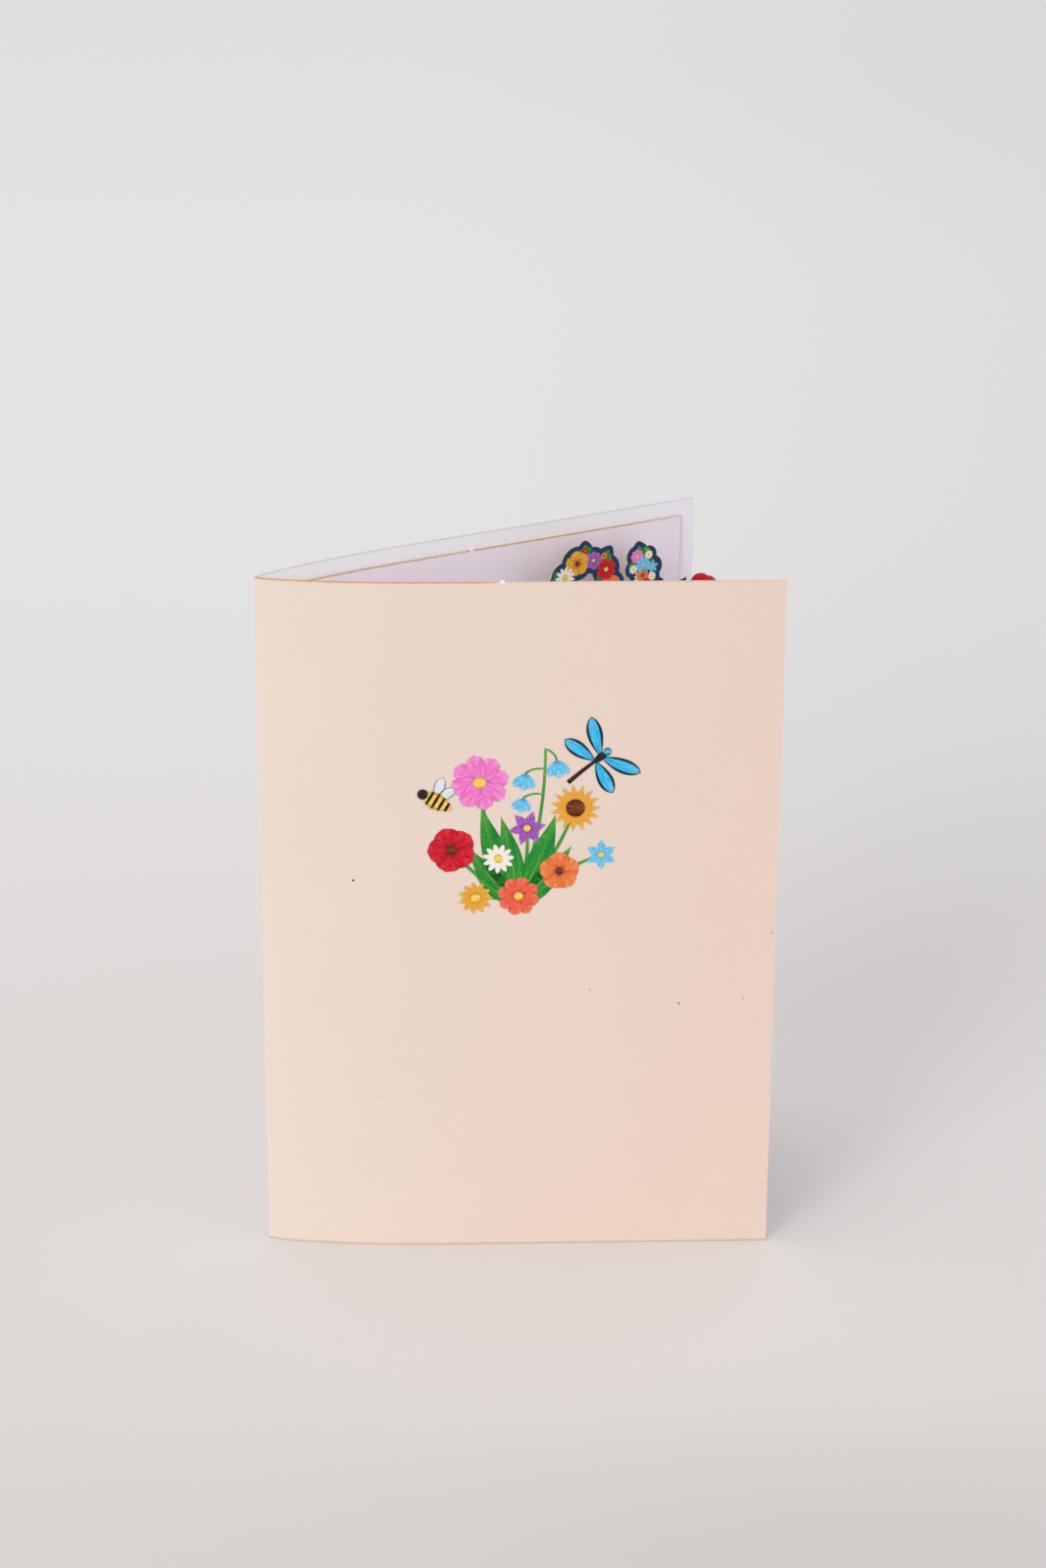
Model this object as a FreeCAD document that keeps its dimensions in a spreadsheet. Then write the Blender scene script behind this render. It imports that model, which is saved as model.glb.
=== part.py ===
import FreeCAD, Part
import os
import Sketcher
from FreeCAD import Rotation, Vector

# A pop-up greeting card that stands ajar on its lower edges.
# Origin: bottom of the crease, in the middle of the cover's thickness.
# +X lies in the plane midway between the two panels and points to the open side,
# +Z is up, the front panel is on the -Y side and the back panel on the +Y side.

# Driving sizes in millimetres and degrees
SIZES = {
    # Folded outer card
    "card_height": 177.8,
    "panel_width": 127.0,
    "cover_thickness": 0.35,
    # Each panel leaves the crease at this angle and straightens in two bends
    "crease_half_angle": 36.0,
    "near_sweep": 12.75,
    "near_radius": 31.5,
    "far_sweep": 9.35,
    "far_radius": 220.0,
    # Liner glued inside the cover over the hidden tabs
    "liner_thickness": 0.3,
    "liner_inset": 4.0,
    # Stubs left on the cut edges by the bridges that held each sheet in its blank
    "stub_width": 1.0,
    "stub_height": 0.35,
    "cover_stub_station": 59.0,
    "liner_stub_station": 61.7,
    # Pop-up paper, its glue tabs and the slots that they pass through
    "paper": 0.25,
    "tab_length": 9.0,
    "slot_clearance": 0.3,
    # Folded layers: place of each fold on the middle plane
    "first_fold": 14.5,
    "second_fold": 39.5,
    # Struts
    "low_strut_base": 30.0,
    "high_strut_base": 92.0,
    "strut_height": 24.0,
    "first_strut_station": 54.0,
    "second_strut_reach": 52.0,
    "spine_strut_base": 40.0,
    "spine_strut_height": 60.0,
    "spine_tab_share": 0.9,
    # Outlines of the layers, in the plane of each sheet
    "bank_bottom": 14.0,
    "first_fold_top": 112.0,
    "first_outer_top": 150.0,
    "first_reach": 94.0,
    "second_fold_top": 104.0,
    "second_outer_top": 118.0,
    "second_reach": 66.0,
    "scallop_radius": 7.0,
    "layer_margin": 1.5,
    # Open wreath of blossoms, buds and leaves on the first layer
    "wreath_reach": 75.6,
    "wreath_height": 162.2,
    "wreath_radius": 6.9,
    "wreath_blossom": 4.5,
    "wreath_flower": 4.0,
    "wreath_bud": 3.5,
    # Narrow cluster beside it: two rings of blossoms, the lower one further out
    "cluster_reach": 92.3,
    "cluster_lean": 1.0,
    "cluster_height": 165.4,
    "cluster_radius": 2.9,
    "cluster_blossom": 3.0,
    "cluster_bud": 2.4,
    # Printed leaves between the blossoms, and the margin that their cut line keeps
    "tip_length": 6.0,
    "tip_half_width": 1.5,
    "cut_margin": 1.2,
    "front_cluster_drop": 7.0,
    # Sprig on the front half of the second layer
    "sprig_reach": 69.35,
    "sprig_top": 175.0,
    "petal_radius": 2.35,
    "petal_ring_radius": 1.5,
    "stem_width": 2.2,
    "leaf_reach": 65.5,
    "leaf_top": 174.1,
    "leaf_length": 20.0,
    "leaf_half_width": 2.9,
    "leaf_lean": 32.0,
    "leaf_joint": 5.0,
}

FRONT, BACK = -1, 1
SIDE_NAMES = {FRONT: "front", BACK: "back"}

doc = FreeCAD.newDocument("greeting_card")
sheet = doc.addObject("Spreadsheet::Sheet", "sizes")
for row, (size_name, size_value) in enumerate(SIZES.items(), start=1):
    sheet.set(f"A{row}", size_name)
    sheet.set(f"B{row}", str(size_value))
    sheet.setAlias(f"B{row}", size_name)
doc.recompute()


def value(expression):
    """Number that an expression of the sheet gives."""
    return float(sheet.evalExpression(expression))


# Headings of a panel: at the crease, after the near bend, and on its straight run
AT_CREASE = "sizes.crease_half_angle"
AFTER_NEAR = "(sizes.crease_half_angle - sizes.near_sweep)"
OPEN = "(sizes.crease_half_angle - sizes.near_sweep - sizes.far_sweep)"

# Centres of the two bends of the back panel, the front panel being its mirror image
NEAR_X = f"(sizes.cover_thickness / 2 + sizes.near_radius * sin({AT_CREASE}))"
NEAR_Y = f"(-sizes.near_radius * cos({AT_CREASE}))"
FAR_X = f"({NEAR_X} + (sizes.far_radius - sizes.near_radius) * sin({AFTER_NEAR}))"
FAR_Y = f"({NEAR_Y} - (sizes.far_radius - sizes.near_radius) * cos({AFTER_NEAR}))"

# Station at which the straight run starts, measured along the cover from the crease
RUN_STATION = "((sizes.near_sweep * sizes.near_radius + sizes.far_sweep * sizes.far_radius) * pi / 180)"


def bend_end(centre_x, centre_y, radius, heading, depth):
    """Point where a bend ends, on the face that lies this deep inside the cover."""
    x = f"({centre_x} - ({radius} - {depth}) * sin({heading}))"
    y = f"({centre_y} + ({radius} - {depth}) * cos({heading}))"
    return x, y


def on_run(station, depth):
    """Point of the back panel's straight run at a station along the cover."""
    x, y = bend_end(FAR_X, FAR_Y, "sizes.far_radius", OPEN, depth)
    along = f"({station} - {RUN_STATION})"
    return f"({x} + {along} * cos({OPEN}))", f"({y} + {along} * sin({OPEN}))"


def crease_point(depth):
    """Corner of the fold on the middle plane, on the face at this depth."""
    leg = f"sqrt((sizes.near_radius - {depth}) ^ 2 - {NEAR_Y} ^ 2)"
    return f"({NEAR_X} - {leg})", "0"


def mirrored(point, side):
    """The same point on the front or the back panel."""
    return point[0], f"({side} * {point[1]})"


def pin_along(sketch, kind, geometry, point, expression):
    """Hold one coordinate of a sketch point at an expression of the sheet."""
    index = sketch.addConstraint(Sketcher.Constraint(kind, -1, 1, geometry, point, value(expression)))
    sketch.renameConstraint(index, f"{kind.lower()}_{geometry + 1}_{point}")
    sketch.setExpression(f"Constraints.{kind.lower()}_{geometry + 1}_{point}", expression)


def pin(sketch, geometry, point, place):
    """Hold both coordinates of a sketch point."""
    pin_along(sketch, "DistanceX", geometry, point, place[0])
    pin_along(sketch, "DistanceY", geometry, point, place[1])


def trace(name, start, steps):
    """Sketch of a line through points given as expressions.

    Each step is (end point, bend centre or None). A step with a centre is an arc.
    A last step that ends on the start closes the outline.
    """
    sketch = doc.addObject("Sketcher::SketchObject", name)
    here = Vector(value(start[0]), value(start[1]), 0)
    first_corner, last_geometry, last_end = None, None, None
    for number, (end, centre) in enumerate(steps, start=1):
        closes = number == len(steps) and end == start
        there = Vector(value(end[0]), value(end[1]), 0)
        if centre is None:
            geometry = sketch.addGeometry(Part.LineSegment(here, there), False)
            first, second = 1, 2
        else:
            middle = Vector(value(centre[0]), value(centre[1]), 0)
            turns_left = (here - middle).cross(there - middle).z > 0
            first, second = (1, 2) if turns_left else (2, 1)
            ends = (here, there) if turns_left else (there, here)
            angles = [Vector(1, 0, 0).getAngle(point - middle) for point in ends]
            signs = [1 if (point - middle).y >= 0 else -1 for point in ends]
            circle = Part.Circle(middle, Vector(0, 0, 1), (here - middle).Length)
            arc = Part.ArcOfCircle(circle, angles[0] * signs[0], angles[1] * signs[1])
            geometry = sketch.addGeometry(arc, False)
            pin_along(sketch, "DistanceX", geometry, 3, centre[0])
            if not closes:
                pin_along(sketch, "DistanceY", geometry, 3, centre[1])
        if last_geometry is None:
            pin(sketch, geometry, first, start)
            first_corner = (geometry, first)
        else:
            sketch.addConstraint(Sketcher.Constraint("Coincident", last_geometry, last_end, geometry, first))
        if closes:
            sketch.addConstraint(Sketcher.Constraint("Coincident", geometry, second, *first_corner))
        elif centre is None:
            pin(sketch, geometry, second, end)
        else:
            pin_along(sketch, "DistanceX", geometry, second, end[0])
        last_geometry, last_end, here = geometry, second, there
    return sketch


def strip(name, path, thickness, base, height):
    """Folded sheet: a line thickened to its right, or left if negative, and drawn up."""
    profile = doc.addObject("Part::Offset2D", f"{name}_profile")
    profile.Source = path
    profile.Mode = "Skin"
    profile.Join = "Intersection"
    profile.Fill = True
    profile.setExpression("Value", thickness)
    sheet_body = doc.addObject("Part::Extrusion", f"{name}_sheet")
    sheet_body.Base = profile
    sheet_body.DirMode = "Custom"
    sheet_body.Dir = Vector(0, 0, 1)
    sheet_body.Solid = True
    sheet_body.setExpression("LengthFwd", height)
    sheet_body.setExpression("Placement.Base.z", base)
    return sheet_body


def place(piece, x, y, z, turn="0"):
    """Bind a piece's place, and its turn about the vertical, to the sheet."""
    piece.setExpression("Placement.Base.x", x)
    piece.setExpression("Placement.Base.y", y)
    piece.setExpression("Placement.Base.z", z)
    piece.setExpression("Placement.Rotation.Angle", turn)
    return piece


def block(name, length, width, height, x, y, z, turn="0"):
    """Box whose corner and turn follow the sheet."""
    box = doc.addObject("Part::Box", name)
    box.setExpression("Length", length)
    box.setExpression("Width", width)
    box.setExpression("Height", height)
    return place(box, x, y, z, turn)


def joined(name, pieces):
    """One solid out of pieces that overlap or share faces."""
    union = doc.addObject("Part::MultiFuse", name)
    union.Shapes = pieces
    union.Refine = True
    return union


def cut_from(name, base, tools):
    """A solid with several tools taken out of it."""
    removed = doc.addObject("Part::MultiFuse", f"{name}_openings")
    removed.Shapes = tools
    cut = doc.addObject("Part::Cut", name)
    cut.Base = base
    cut.Tool = removed
    return cut


# Depths inside the cover's inner face: hidden tabs, then the liner
TAB_DEPTH = "sizes.paper"
LINER_DEPTH = "(sizes.paper + sizes.liner_thickness)"


def folded_path(name, depth, length):
    """Line of both panels at one depth, from the back tip round the crease to the front."""
    start = mirrored(on_run(length, depth), BACK)
    steps = [
        (bend_end(FAR_X, FAR_Y, "sizes.far_radius", OPEN, depth), None),
        (bend_end(NEAR_X, NEAR_Y, "sizes.near_radius", AFTER_NEAR, depth), (FAR_X, FAR_Y)),
        (crease_point(depth), (NEAR_X, NEAR_Y)),
    ]
    ends = [steps[1][0], steps[0][0], start]
    centres = [(NEAR_X, NEAR_Y), (FAR_X, FAR_Y), None]
    for end, centre in zip(ends, centres):
        front_centre = mirrored(centre, FRONT) if centre else None
        steps.append((mirrored(end, FRONT), front_centre))
    return trace(name, start, steps)


def edge_stub(name, side, station, depth, thickness, top):
    """Short stub on the upper edge of a panel, flush with both faces of its sheet."""
    near_face = f"({depth})" if side == FRONT else f"({depth} + {thickness})"
    x, y = mirrored(on_run(f"({station} - sizes.stub_width / 2)", near_face), side)
    height = "sizes.stub_height * 2"
    return block(name, "sizes.stub_width", thickness, height, x, y,
                 f"{top} - sizes.stub_height", f"{side} * {OPEN}")


def make_cover():
    """Outer card, creased once, with a stub left on the front panel's upper edge."""
    path = folded_path("cover_path", "0", "sizes.panel_width")
    card = strip("cover", path, "sizes.cover_thickness", "0", "sizes.card_height")
    stub = edge_stub("cover_stub", FRONT, "sizes.cover_stub_station", "-sizes.cover_thickness",
                     "sizes.cover_thickness", "sizes.card_height")
    return joined("cover", [card, stub])


def strut_web(depth):
    """Run of a strut's web along the panel while it crosses this depth."""
    return f"({depth} / tan({OPEN}))"


def liner_slot(side, base):
    """Slot that a strut of the first layer passes through, beside its hidden tab."""
    station = "(sizes.first_strut_station - sizes.slot_clearance)"
    length = f"{strut_web(LINER_DEPTH)} + 2 * sizes.slot_clearance"
    reach = "sizes.layer_margin"
    far_face = f"-{reach}" if side == FRONT else f"({LINER_DEPTH} + {reach})"
    x, y = mirrored(on_run(station, far_face), side)
    return block(f"{SIDE_NAMES[side]}_slot", length, f"{LINER_DEPTH} + 2 * {reach}",
                 "sizes.strut_height + 2 * sizes.slot_clearance",
                 x, y, f"{base} - sizes.slot_clearance", f"{side} * {OPEN}")


def make_liner():
    """Inner sheet, creased with the cover and slotted where the struts come through."""
    path = folded_path("liner_path", TAB_DEPTH, "(sizes.panel_width - sizes.liner_inset)")
    top = "(sizes.card_height - sizes.liner_inset)"
    plain = strip("liner", path, "-sizes.liner_thickness", "sizes.liner_inset",
                  "sizes.card_height - 2 * sizes.liner_inset")
    stub = edge_stub("liner_stub", BACK, "sizes.liner_stub_station", TAB_DEPTH,
                     "sizes.liner_thickness", top)
    slots = [liner_slot(side, base) for side in (FRONT, BACK)
             for base in ("sizes.low_strut_base", "sizes.high_strut_base")]
    width = "(2 * sizes.paper + 2 * sizes.slot_clearance)"
    slots.append(block("crease_slot", f"2 * {LINER_DEPTH} / sin({AT_CREASE})", width,
                       "sizes.spine_strut_height + 2 * sizes.slot_clearance",
                       "0", f"-{width} / 2", "sizes.spine_strut_base - sizes.slot_clearance"))
    return cut_from("liner", joined("liner_blank", [plain, stub]), slots)


def layer_depth(fold):
    """Distance from the cover's inner face to the outer face of a layer with this fold."""
    x, y = on_run(RUN_STATION, "0")
    return f"(({y} * cos({OPEN}) - {x} * sin({OPEN})) + {fold} * sin({OPEN}))"


def outer_strut(name, side, web_depth, place_on):
    """Strip with a tab at each end whose web runs parallel to the middle plane."""
    drop = f"(-{side} * {web_depth})"
    web_end = strut_web(web_depth)
    steps = [(("0", "0"), None),
             ((web_end, drop), None),
             ((f"({web_end} + sizes.tab_length)", drop), None)]
    path = trace(f"{name}_path", ("-sizes.tab_length", "0"), steps)
    strut = strip(name, path, f"{side} * sizes.paper", "0", "sizes.strut_height")
    return place(strut, *place_on, f"{side} * {OPEN}")


def first_strut(side, level, base):
    """Strut from its tab behind the liner to the outer face of the first layer."""
    x, y = mirrored(on_run("sizes.first_strut_station", "0"), side)
    web_depth = f"({layer_depth('sizes.first_fold')} - sizes.paper)"
    return outer_strut(f"{SIDE_NAMES[side]}_{level}_strut", side, web_depth, (x, y, base))


def second_strut(side, level, base):
    """Strut from the inner face of the first layer to the outer face of the second."""
    reach = "sizes.second_strut_reach"
    x = f"(sizes.first_fold + {reach} * cos({OPEN}) + sizes.paper * sin({OPEN}))"
    y = f"({reach} * sin({OPEN}) - sizes.paper * cos({OPEN}))"
    web_depth = f"((sizes.second_fold - sizes.first_fold) * sin({OPEN}) - 2 * sizes.paper)"
    name = f"{SIDE_NAMES[side]}_{level}_riser"
    return outer_strut(name, side, web_depth, (*mirrored((x, y), side), base))


def spine_tab(x):
    """End of a tab that lies along the back half of a layer, from a fold at x."""
    reach = "sizes.spine_tab_share * sizes.tab_length"
    return f"({x} + {reach} * cos({OPEN}))", f"({reach} * sin({OPEN}))"


def first_spine(side):
    """One ply of the strut in the crease, its hidden tab curved with the panel."""
    fold = "sizes.first_fold"
    hidden_end = bend_end(NEAR_X, NEAR_Y, "sizes.near_radius", AFTER_NEAR, "0")
    steps = [((fold, "0"), None),
             (crease_point("0"), None),
             (mirrored(hidden_end, side), mirrored((NEAR_X, NEAR_Y), side))]
    name = f"{SIDE_NAMES[side]}_spine_strut"
    path = trace(f"{name}_path", mirrored(spine_tab(fold), side), steps)
    return strip(name, path, f"{side} * sizes.paper", "sizes.spine_strut_base", "sizes.spine_strut_height")


def second_spine(side):
    """One ply of the strut between the folds of the two layers."""
    inner_fold = f"(sizes.first_fold + sizes.paper / sin({OPEN}))"
    fold = "sizes.second_fold"
    steps = [((inner_fold, "0"), None),
             ((fold, "0"), None),
             (mirrored(spine_tab(fold), side), None)]
    name = f"{SIDE_NAMES[side]}_spine_riser"
    path = trace(f"{name}_path", mirrored(spine_tab(inner_fold), side), steps)
    return strip(name, path, f"-{side} * sizes.paper", "sizes.spine_strut_base", "sizes.spine_strut_height")


def upright(body, side, lean=0):
    """Turn a flat body into the plane of one half of a layer, leaning towards its edge."""
    stand = Rotation(Vector(0, 0, 1), side * value(OPEN)) * Rotation(Vector(1, 0, 0), 90)
    body.Placement.Rotation = stand * Rotation(Vector(0, 0, 1), -lean)
    return body


def slab(name, outline, fold, side, foot=("0", "0"), lean=0):
    """Outline of reach and height, drawn through the sheet of one half of a layer."""
    body = doc.addObject("Part::Extrusion", name)
    body.Base = outline
    body.DirMode = "Custom"
    body.Dir = Vector(0, 0, 1)
    body.Symmetric = True
    body.Solid = True
    body.setExpression("LengthFwd", "2 * sizes.layer_margin")
    body.setExpression("Placement.Base.x", f"{fold} + {foot[0]} * cos({OPEN})")
    body.setExpression("Placement.Base.y", f"{side} * {foot[0]} * sin({OPEN})")
    body.setExpression("Placement.Base.z", foot[1])
    return upright(body, side, lean)


def disc(name, fold, side, reach, height, radius):
    """Round blossom head, drawn through the sheet of one half of a layer."""
    head = doc.addObject("Part::Cylinder", name)
    head.setExpression("Radius", radius)
    head.setExpression("Height", "2 * sizes.layer_margin")
    x = f"{fold} + {reach} * cos({OPEN}) - {side} * sizes.layer_margin * sin({OPEN})"
    y = f"{side} * {reach} * sin({OPEN}) + sizes.layer_margin * cos({OPEN})"
    head.setExpression("Placement.Base.x", x)
    head.setExpression("Placement.Base.y", y)
    head.setExpression("Placement.Base.z", height)
    return upright(head, side)


def around(centre, distance, angle):
    """Point of reach and height at a distance and an angle from a centre."""
    return f"({centre[0]} + {distance} * cos({angle}))", f"({centre[1]} + {distance} * sin({angle}))"


def ring(name, fold, side, centre, ring_radius, lobe_radii, count, first_angle):
    """Ring of round lobes whose radii take turns: petals of a flower, or blossoms."""
    heads = []
    for number in range(count):
        lobe = around(centre, ring_radius, first_angle + 360 * number / count)
        radius = lobe_radii[number % len(lobe_radii)]
        heads.append(disc(f"{name}_lobe_{number + 1}", fold, side, *lobe, radius))
    return heads


def leaf_outline(name, length, half):
    """Pointed upright leaf between two equal arcs, with its foot at the origin."""
    radius = f"(({length} ^ 2 / 4 + {half} ^ 2) / (2 * {half}))"
    base, tip = ("0", "0"), ("0", length)
    steps = [(tip, (f"({half} - {radius})", f"({length} / 2)")),
             (base, (f"({radius} - {half})", f"({length} / 2)"))]
    return trace(f"{name}_outline", base, steps)


def leaf_tips(name, fold, side, centre, outer, angles):
    """Printed leaves that reach out of a cluster, each cut round at an even margin."""
    tips = []
    for number, angle in enumerate(angles, start=1):
        label = f"{name}_tip_{number}"
        cut_line = doc.addObject("Part::Offset2D", f"{label}_cut_line")
        cut_line.Source = leaf_outline(label, "sizes.tip_length", "sizes.tip_half_width")
        cut_line.Join = "Arc"
        cut_line.setExpression("Value", "sizes.cut_margin")
        foot = around(centre, f"({outer} - sizes.tip_length)", angle)
        tips.append(slab(label, cut_line, fold, side, foot, 90 - angle))
    return tips


def bank(name, fold, side, fold_top, outer_top, reach, top_count, outer_count):
    """Bank of blossoms: a straight-sided ground with scallops on its upper and outer edges."""
    edge = f"({reach} - sizes.scallop_radius)"
    bottom = "sizes.bank_bottom"
    start = ("-sizes.layer_margin", bottom)
    corners = [("-sizes.layer_margin", fold_top), (edge, outer_top), (edge, bottom), start]
    ground = trace(f"{name}_outline", start, [(corner, None) for corner in corners])
    heads = [slab(f"{name}_ground", ground, fold, side)]
    for number in range(top_count):
        share = (number + 0.5) / top_count
        head_reach = f"({share} * {edge})"
        height = f"({fold_top} + {share} * ({outer_top} - {fold_top}))"
        heads.append(disc(f"{name}_top_{number + 1}", fold, side, head_reach, height, "sizes.scallop_radius"))
    for number in range(outer_count):
        share = number / (outer_count - 1)
        low = f"({bottom} + sizes.scallop_radius)"
        height = f"({low} + {share} * ({outer_top} - {low}))"
        heads.append(disc(f"{name}_outer_{number + 1}", fold, side, edge, height, "sizes.scallop_radius"))
    return heads


def folded_layer(name, fold, reach, heads):
    """Sheet folded on the middle plane, parallel to the panels, cut to its outline."""
    tip = (f"({fold} + {reach} * cos({OPEN}))", f"({reach} * sin({OPEN}))")
    steps = [((fold, "0"), None), (mirrored(tip, FRONT), None)]
    path = trace(f"{name}_path", tip, steps)
    blank = strip(f"{name}_blank", path, "-sizes.paper", "0", "sizes.card_height")
    layer = doc.addObject("Part::Common", name)
    layer.Base = blank
    layer.Tool = joined(f"{name}_heads", heads)
    return layer


def wreath(name, fold, side, drop):
    """Open wreath: nine blossoms, flowers and buds in turn, with five leaf tips."""
    centre = ("sizes.wreath_reach", f"(sizes.wreath_height - {drop})")
    lobes = ("sizes.wreath_bud", "sizes.wreath_blossom", "sizes.wreath_flower")
    outer = "(sizes.wreath_radius + sizes.wreath_flower)"
    count, first_angle = 9, 72
    step = 360 / count
    tip_angles = [first_angle + step / 2 + 2 * step * number for number in range(5)]
    heads = ring(name, fold, side, centre, "sizes.wreath_radius", lobes, count, first_angle)
    return heads + leaf_tips(name, fold, side, centre, outer, tip_angles)


def narrow_cluster(name, fold, side, drop):
    """Two filled rings of blossoms and buds, one above the other, with a leaf tip on top."""
    heads = []
    lobes = ("sizes.cluster_blossom", "sizes.cluster_bud", "sizes.cluster_blossom")
    first_angle = 126
    tip_angles = [104]
    for row in range(2):
        centre = (f"(sizes.cluster_reach + {row} * sizes.cluster_lean)",
                  f"(sizes.cluster_height - {drop} - {row} * 2 * sizes.cluster_radius)")
        heads.append(disc(f"{name}_heart_{row + 1}", fold, side, *centre, "sizes.cluster_radius"))
        heads += ring(f"{name}_{row + 1}", fold, side, centre, "sizes.cluster_radius", lobes, 5, first_angle)
    top = ("sizes.cluster_reach", f"(sizes.cluster_height - {drop})")
    outer = "(sizes.cluster_radius + sizes.cluster_bud)"
    return heads + leaf_tips(name, fold, side, top, outer, tip_angles)


def make_first_layer():
    """First layer: banks with a wreath and a narrow cluster of blossoms at the open side."""
    fold = "sizes.first_fold"
    heads = []
    for side in (FRONT, BACK):
        part = SIDE_NAMES[side]
        drop = "sizes.front_cluster_drop" if side == FRONT else "0"
        heads += bank(f"first_{part}", fold, side, "sizes.first_fold_top", "sizes.first_outer_top",
                      "sizes.first_reach", 6, 7)
        heads += wreath(f"wreath_{part}", fold, side, drop)
        heads += narrow_cluster(f"cluster_{part}", fold, side, drop)
    return folded_layer("first_layer", fold, "sizes.panel_width", heads)


def stem(name, fold, side, foot, head):
    """Straight stem of even width from the bank up to a flower or a leaf."""
    half = "sizes.stem_width / 2"
    corners = [(f"({foot[0]} + {half})", foot[1]), (f"({head[0]} + {half})", head[1]),
               (f"({head[0]} - {half})", head[1]), (f"({foot[0]} - {half})", foot[1])]
    outline = trace(f"{name}_outline", corners[-1], [(corner, None) for corner in corners])
    return slab(name, outline, fold, side)


def make_second_layer():
    """Second layer: lower banks, with one flower and one leaf rising at the front."""
    fold = "sizes.second_fold"
    heads = []
    for side in (FRONT, BACK):
        heads += bank(f"second_{SIDE_NAMES[side]}", fold, side, "sizes.second_fold_top",
                      "sizes.second_outer_top", "sizes.second_reach", 4, 5)
    petals = 5
    first_petal = 105
    flower = ("sizes.sprig_reach", "(sizes.sprig_top - sizes.petal_radius"
              f" - sizes.petal_ring_radius * sin({first_petal}))")
    heads += ring("sprig", fold, FRONT, flower, "sizes.petal_ring_radius", ("sizes.petal_radius",),
                  petals, first_petal)
    root = ("(sizes.second_reach - sizes.scallop_radius)", "(sizes.second_outer_top - sizes.scallop_radius)")
    heads.append(stem("sprig_stem", fold, FRONT, root, flower))
    lean = value("sizes.leaf_lean")
    leaf_tip = ("sizes.leaf_reach", "sizes.leaf_top")
    foot = around(leaf_tip, "-sizes.leaf_length", 90 - lean)
    outline = leaf_outline("sprig_leaf", "sizes.leaf_length", "sizes.leaf_half_width")
    heads.append(slab("sprig_leaf", outline, fold, FRONT, foot, lean))
    heads.append(stem("leaf_stem", fold, FRONT, root, around(foot, "sizes.leaf_joint", 90 - lean)))
    return folded_layer("second_layer", fold, "sizes.panel_width", heads)


def make_struts():
    """Struts of both layers on both sides, keyed by node name."""
    struts = {}
    levels = {"lower": "sizes.low_strut_base", "upper": "sizes.high_strut_base"}
    for side in (FRONT, BACK):
        part = SIDE_NAMES[side]
        struts[f"{part}_spine_strut"] = first_spine(side)
        struts[f"{part}_spine_riser"] = second_spine(side)
        for level, base in levels.items():
            struts[f"{part}_{level}_strut"] = first_strut(side, level, base)
            struts[f"{part}_{level}_riser"] = second_strut(side, level, base)
    return struts


SUBPARTS = {
    "cover": make_cover(),
    "liner": make_liner(),
    "first_layer": make_first_layer(),
    "second_layer": make_second_layer(),
    **make_struts(),
}
doc.recompute()

for node, piece in SUBPARTS.items():
    piece.Label = node

failed = [item.Name for item in doc.Objects if {"Invalid", "Error"} & set(item.State)]
if failed:
    raise RuntimeError(f"objects that failed to build: {', '.join(failed)}")
for node, piece in SUBPARTS.items():
    if piece.Shape.isNull() or not piece.Shape.isValid():
        raise RuntimeError(f"{node} has no valid solid")

os.makedirs("parts", exist_ok=True)
for node, piece in SUBPARTS.items():
    piece.Shape.exportStep(os.path.join("parts", f"{node}.step"))
    print(f"{node}: {len(piece.Shape.Solids)} solid, {piece.Shape.Volume:.1f} mm3")
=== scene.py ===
"""Looks of a pop-up greeting card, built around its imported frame.

Sizes are in millimetres unless a name says otherwise. +X runs from the crease to the open
side in the plane midway between the panels, +Z is up, the front panel is on the -Y side.
"""

import logging
import math
import random
from dataclasses import dataclass
from enum import Enum
from typing import Protocol, Sequence

import bpy
from mathutils import Matrix, Vector
from mathutils.bvhtree import BVHTree
from mathutils.kdtree import KDTree


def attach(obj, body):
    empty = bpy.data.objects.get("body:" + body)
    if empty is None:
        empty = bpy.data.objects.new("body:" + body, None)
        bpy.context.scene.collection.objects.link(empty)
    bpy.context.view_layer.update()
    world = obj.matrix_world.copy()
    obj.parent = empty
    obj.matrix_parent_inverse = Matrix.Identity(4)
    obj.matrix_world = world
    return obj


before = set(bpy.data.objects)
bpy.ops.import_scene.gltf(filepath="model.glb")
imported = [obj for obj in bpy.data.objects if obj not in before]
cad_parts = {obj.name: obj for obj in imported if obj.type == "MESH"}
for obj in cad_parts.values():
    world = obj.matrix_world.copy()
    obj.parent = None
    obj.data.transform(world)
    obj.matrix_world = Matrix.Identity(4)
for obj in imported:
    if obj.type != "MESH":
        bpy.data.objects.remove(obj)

LOG = logging.getLogger("greeting_card")
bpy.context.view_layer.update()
MM = 0.001
Colour = tuple[float, float, float]
Point = tuple[float, float]
Socket = bpy.types.NodeSocket
Value = Socket | float | Colour


def srgb(red: int, green: int, blue: int) -> Colour:
    """Linear colour of a display colour.

    Args:
        red: level from 0 to 255.
        green: level from 0 to 255.
        blue: level from 0 to 255.

    Returns:
        The three linear values.
    """
    def linear(level: int) -> float:
        """Linear value of one channel."""
        share = level / 255
        return share / 12.92 if share <= 0.04045 else ((share + 0.055) / 1.055) ** 2.4
    return linear(red), linear(green), linear(blue)


def shifted(at: Point, heading: float, distance: float) -> Point:
    """Flat point moved by a distance along a heading in degrees, counted from the right."""
    turn = math.radians(heading)
    return at[0] + distance * math.cos(turn), at[1] + distance * math.sin(turn)


def add_object(name: str, data: bpy.types.ID) -> bpy.types.Object:
    """Add an object to the scene.

    Args:
        name: name of the object.
        data: its mesh, lamp or camera.

    Returns:
        The new object.
    """
    made = bpy.data.objects.new(name, data)
    bpy.context.scene.collection.objects.link(made)
    return made


class Side(Enum):
    """Half of the folded card: the front lies at -Y and the back at +Y."""
    FRONT = -1
    BACK = 1


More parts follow.
